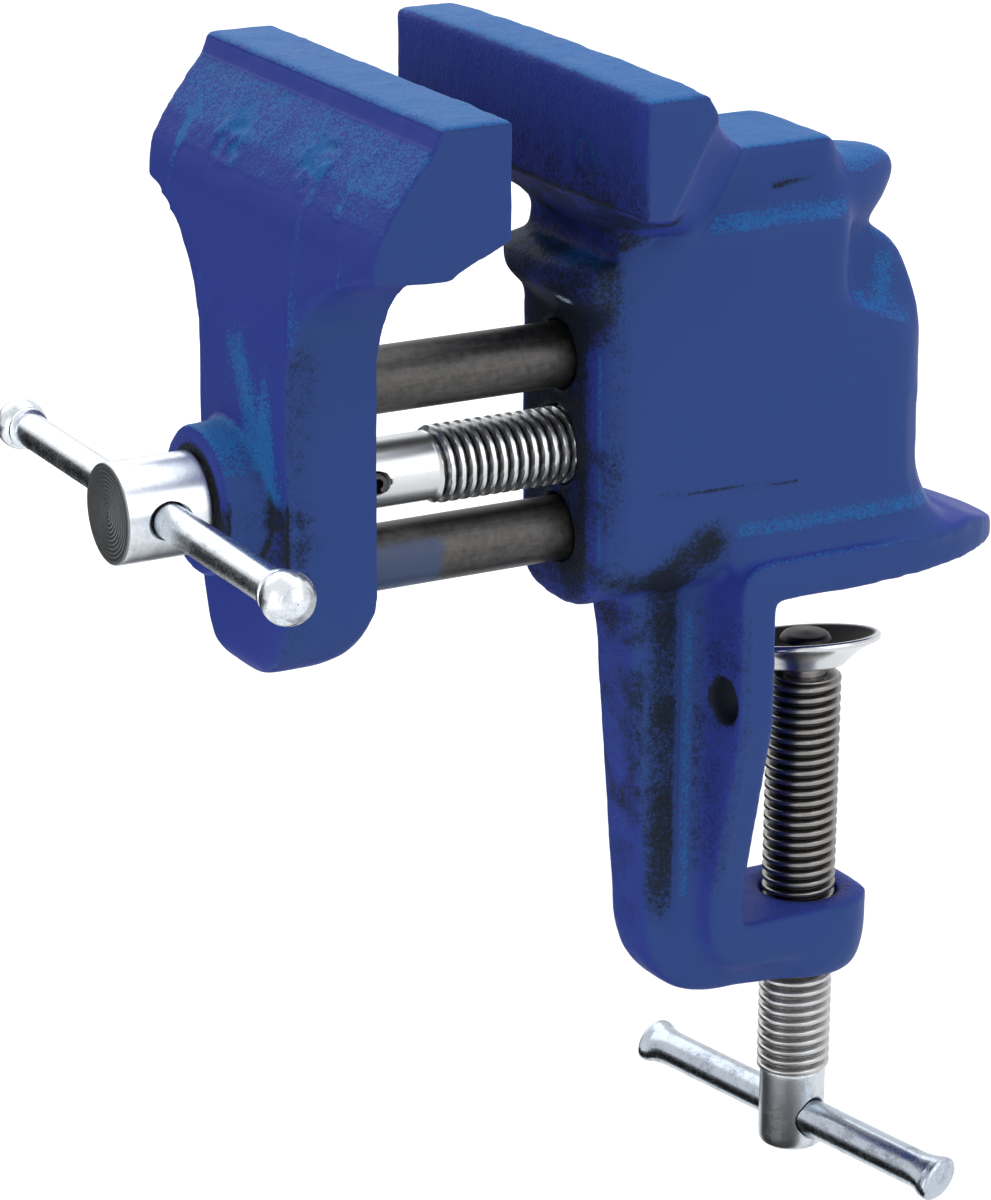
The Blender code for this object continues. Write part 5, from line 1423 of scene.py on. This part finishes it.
@dataclass(frozen=True)
class Studio:
    """A pale floor, a world that is white to the camera and in reflections, and four soft lamps."""

    floor_size: float = 12000
    drop: float = 120
    floor_white: Colour = (0.86, 0.86, 0.86)
    lift_near: float = 0.34
    lift_far: float = 0.80
    lift_from: float = 250
    lift_to: float = 1100
    ambient: float = 0.45
    cool: Colour = (0.92, 0.98, 1.0)
    pale: Colour = (0.97, 0.99, 1.0)

    def build(self, lowest: float) -> None:
        """Builds the floor well under the lowest point, because the vise hangs clear of it, the world and the lamps."""
        floor = lowest - self.drop
        self.build_floor(floor)
        self.build_world()
        DarkCard().build(floor)
        sides = {"near": 50, "far": -140, "front": -60, "back": -6, "wall_back": -50, "wall_height": 1}
        DarkCard("bar_card", **sides, lift=-8, turn=CLAMP_BAR_BEARING).build(lowest)
        bpy.context.scene.view_settings.view_transform = "Standard"
        for lamp in (
            Lamp("overhead", 200, 72, 750, (700, 500), 0.45, self.cool),
            Lamp("far_side", 275, 36, 900, (900, 600), 0.22, self.cool),
            Lamp("near_side", 110, 25, 900, (700, 900), 0.32, self.pale),
            Lamp("front", 8, 4, 900, (250, 700), 0.24),
        ):
            lamp.build()

    def build_floor(self, height: float) -> None:
        """A plain square whose own faint light, stronger further out, brings it up to white when seen or mirrored."""
        half = self.floor_size / 2
        floor = mesh_object("floor", np.array(level_corners(-half, half, -half, half, height)), [(0, 1, 2, 3)])
        made = bpy.data.materials.new("floor_card")
        graph = Graph(made)
        x, y, _ = graph.axes()
        away = ((x * x + y * y) ** 0.5).step(self.lift_from, self.lift_to)
        lift = away * (self.lift_far - self.lift_near) + self.lift_near
        card = graph.diffuse(self.floor_white)
        glow = graph.node("ShaderNodeEmission", None, {"Color": (*WHITE, 1), "Strength": lift})
        both = graph.node("ShaderNodeAddShader", None, {0: card, 1: glow["Emission"]})
        graph.end(graph.node("ShaderNodeMixShader", None, {"Fac": graph.seen(), 1: card, 2: both["Shader"]})["Shader"])
        floor.data.materials.append(made)

    def build_world(self) -> None:
        """White where it is seen or mirrored, and a plain ambient level otherwise."""
        world = bpy.data.worlds.new("studio")
        bpy.context.scene.world = world
        graph = Graph(world)
        strength = graph.seen() * (1 - self.ambient) + self.ambient
        light = graph.node("ShaderNodeBackground", None, {"Color": (*WHITE, 1), "Strength": strength})
        graph.end(light["Background"], "World")


def main() -> None:
    """Builds the vise piece by piece, then its studio."""
    logging.basicConfig(level=logging.INFO, format="%(message)s")
    enamel = CastEnamel("blue_cast_enamel")
    BodyCasting("body_casting", "vise_body", Body.FRAME, enamel).build()
    JawCasting("jaw_casting", "moving_jaw", Body.JAW, enamel, voxel=0.5, seed=17).build()
    bars = DarkBarSteel("dark_bar")
    GuideBar("upper_bar", "guide_bar_upper", UPPER_BAR_HEIGHT, bars).build()
    GuideBar("lower_bar", "guide_bar_lower", LOWER_BAR_HEIGHT, bars).build()
    Spindle().build()
    TommyBar().build()
    ClampScrew().build()
    Pad().build()
    ClampBar().build()
    Camera().build()
    Studio().build(CAD_BOX[0].z / MM)


if __name__ == "__main__":
    main()
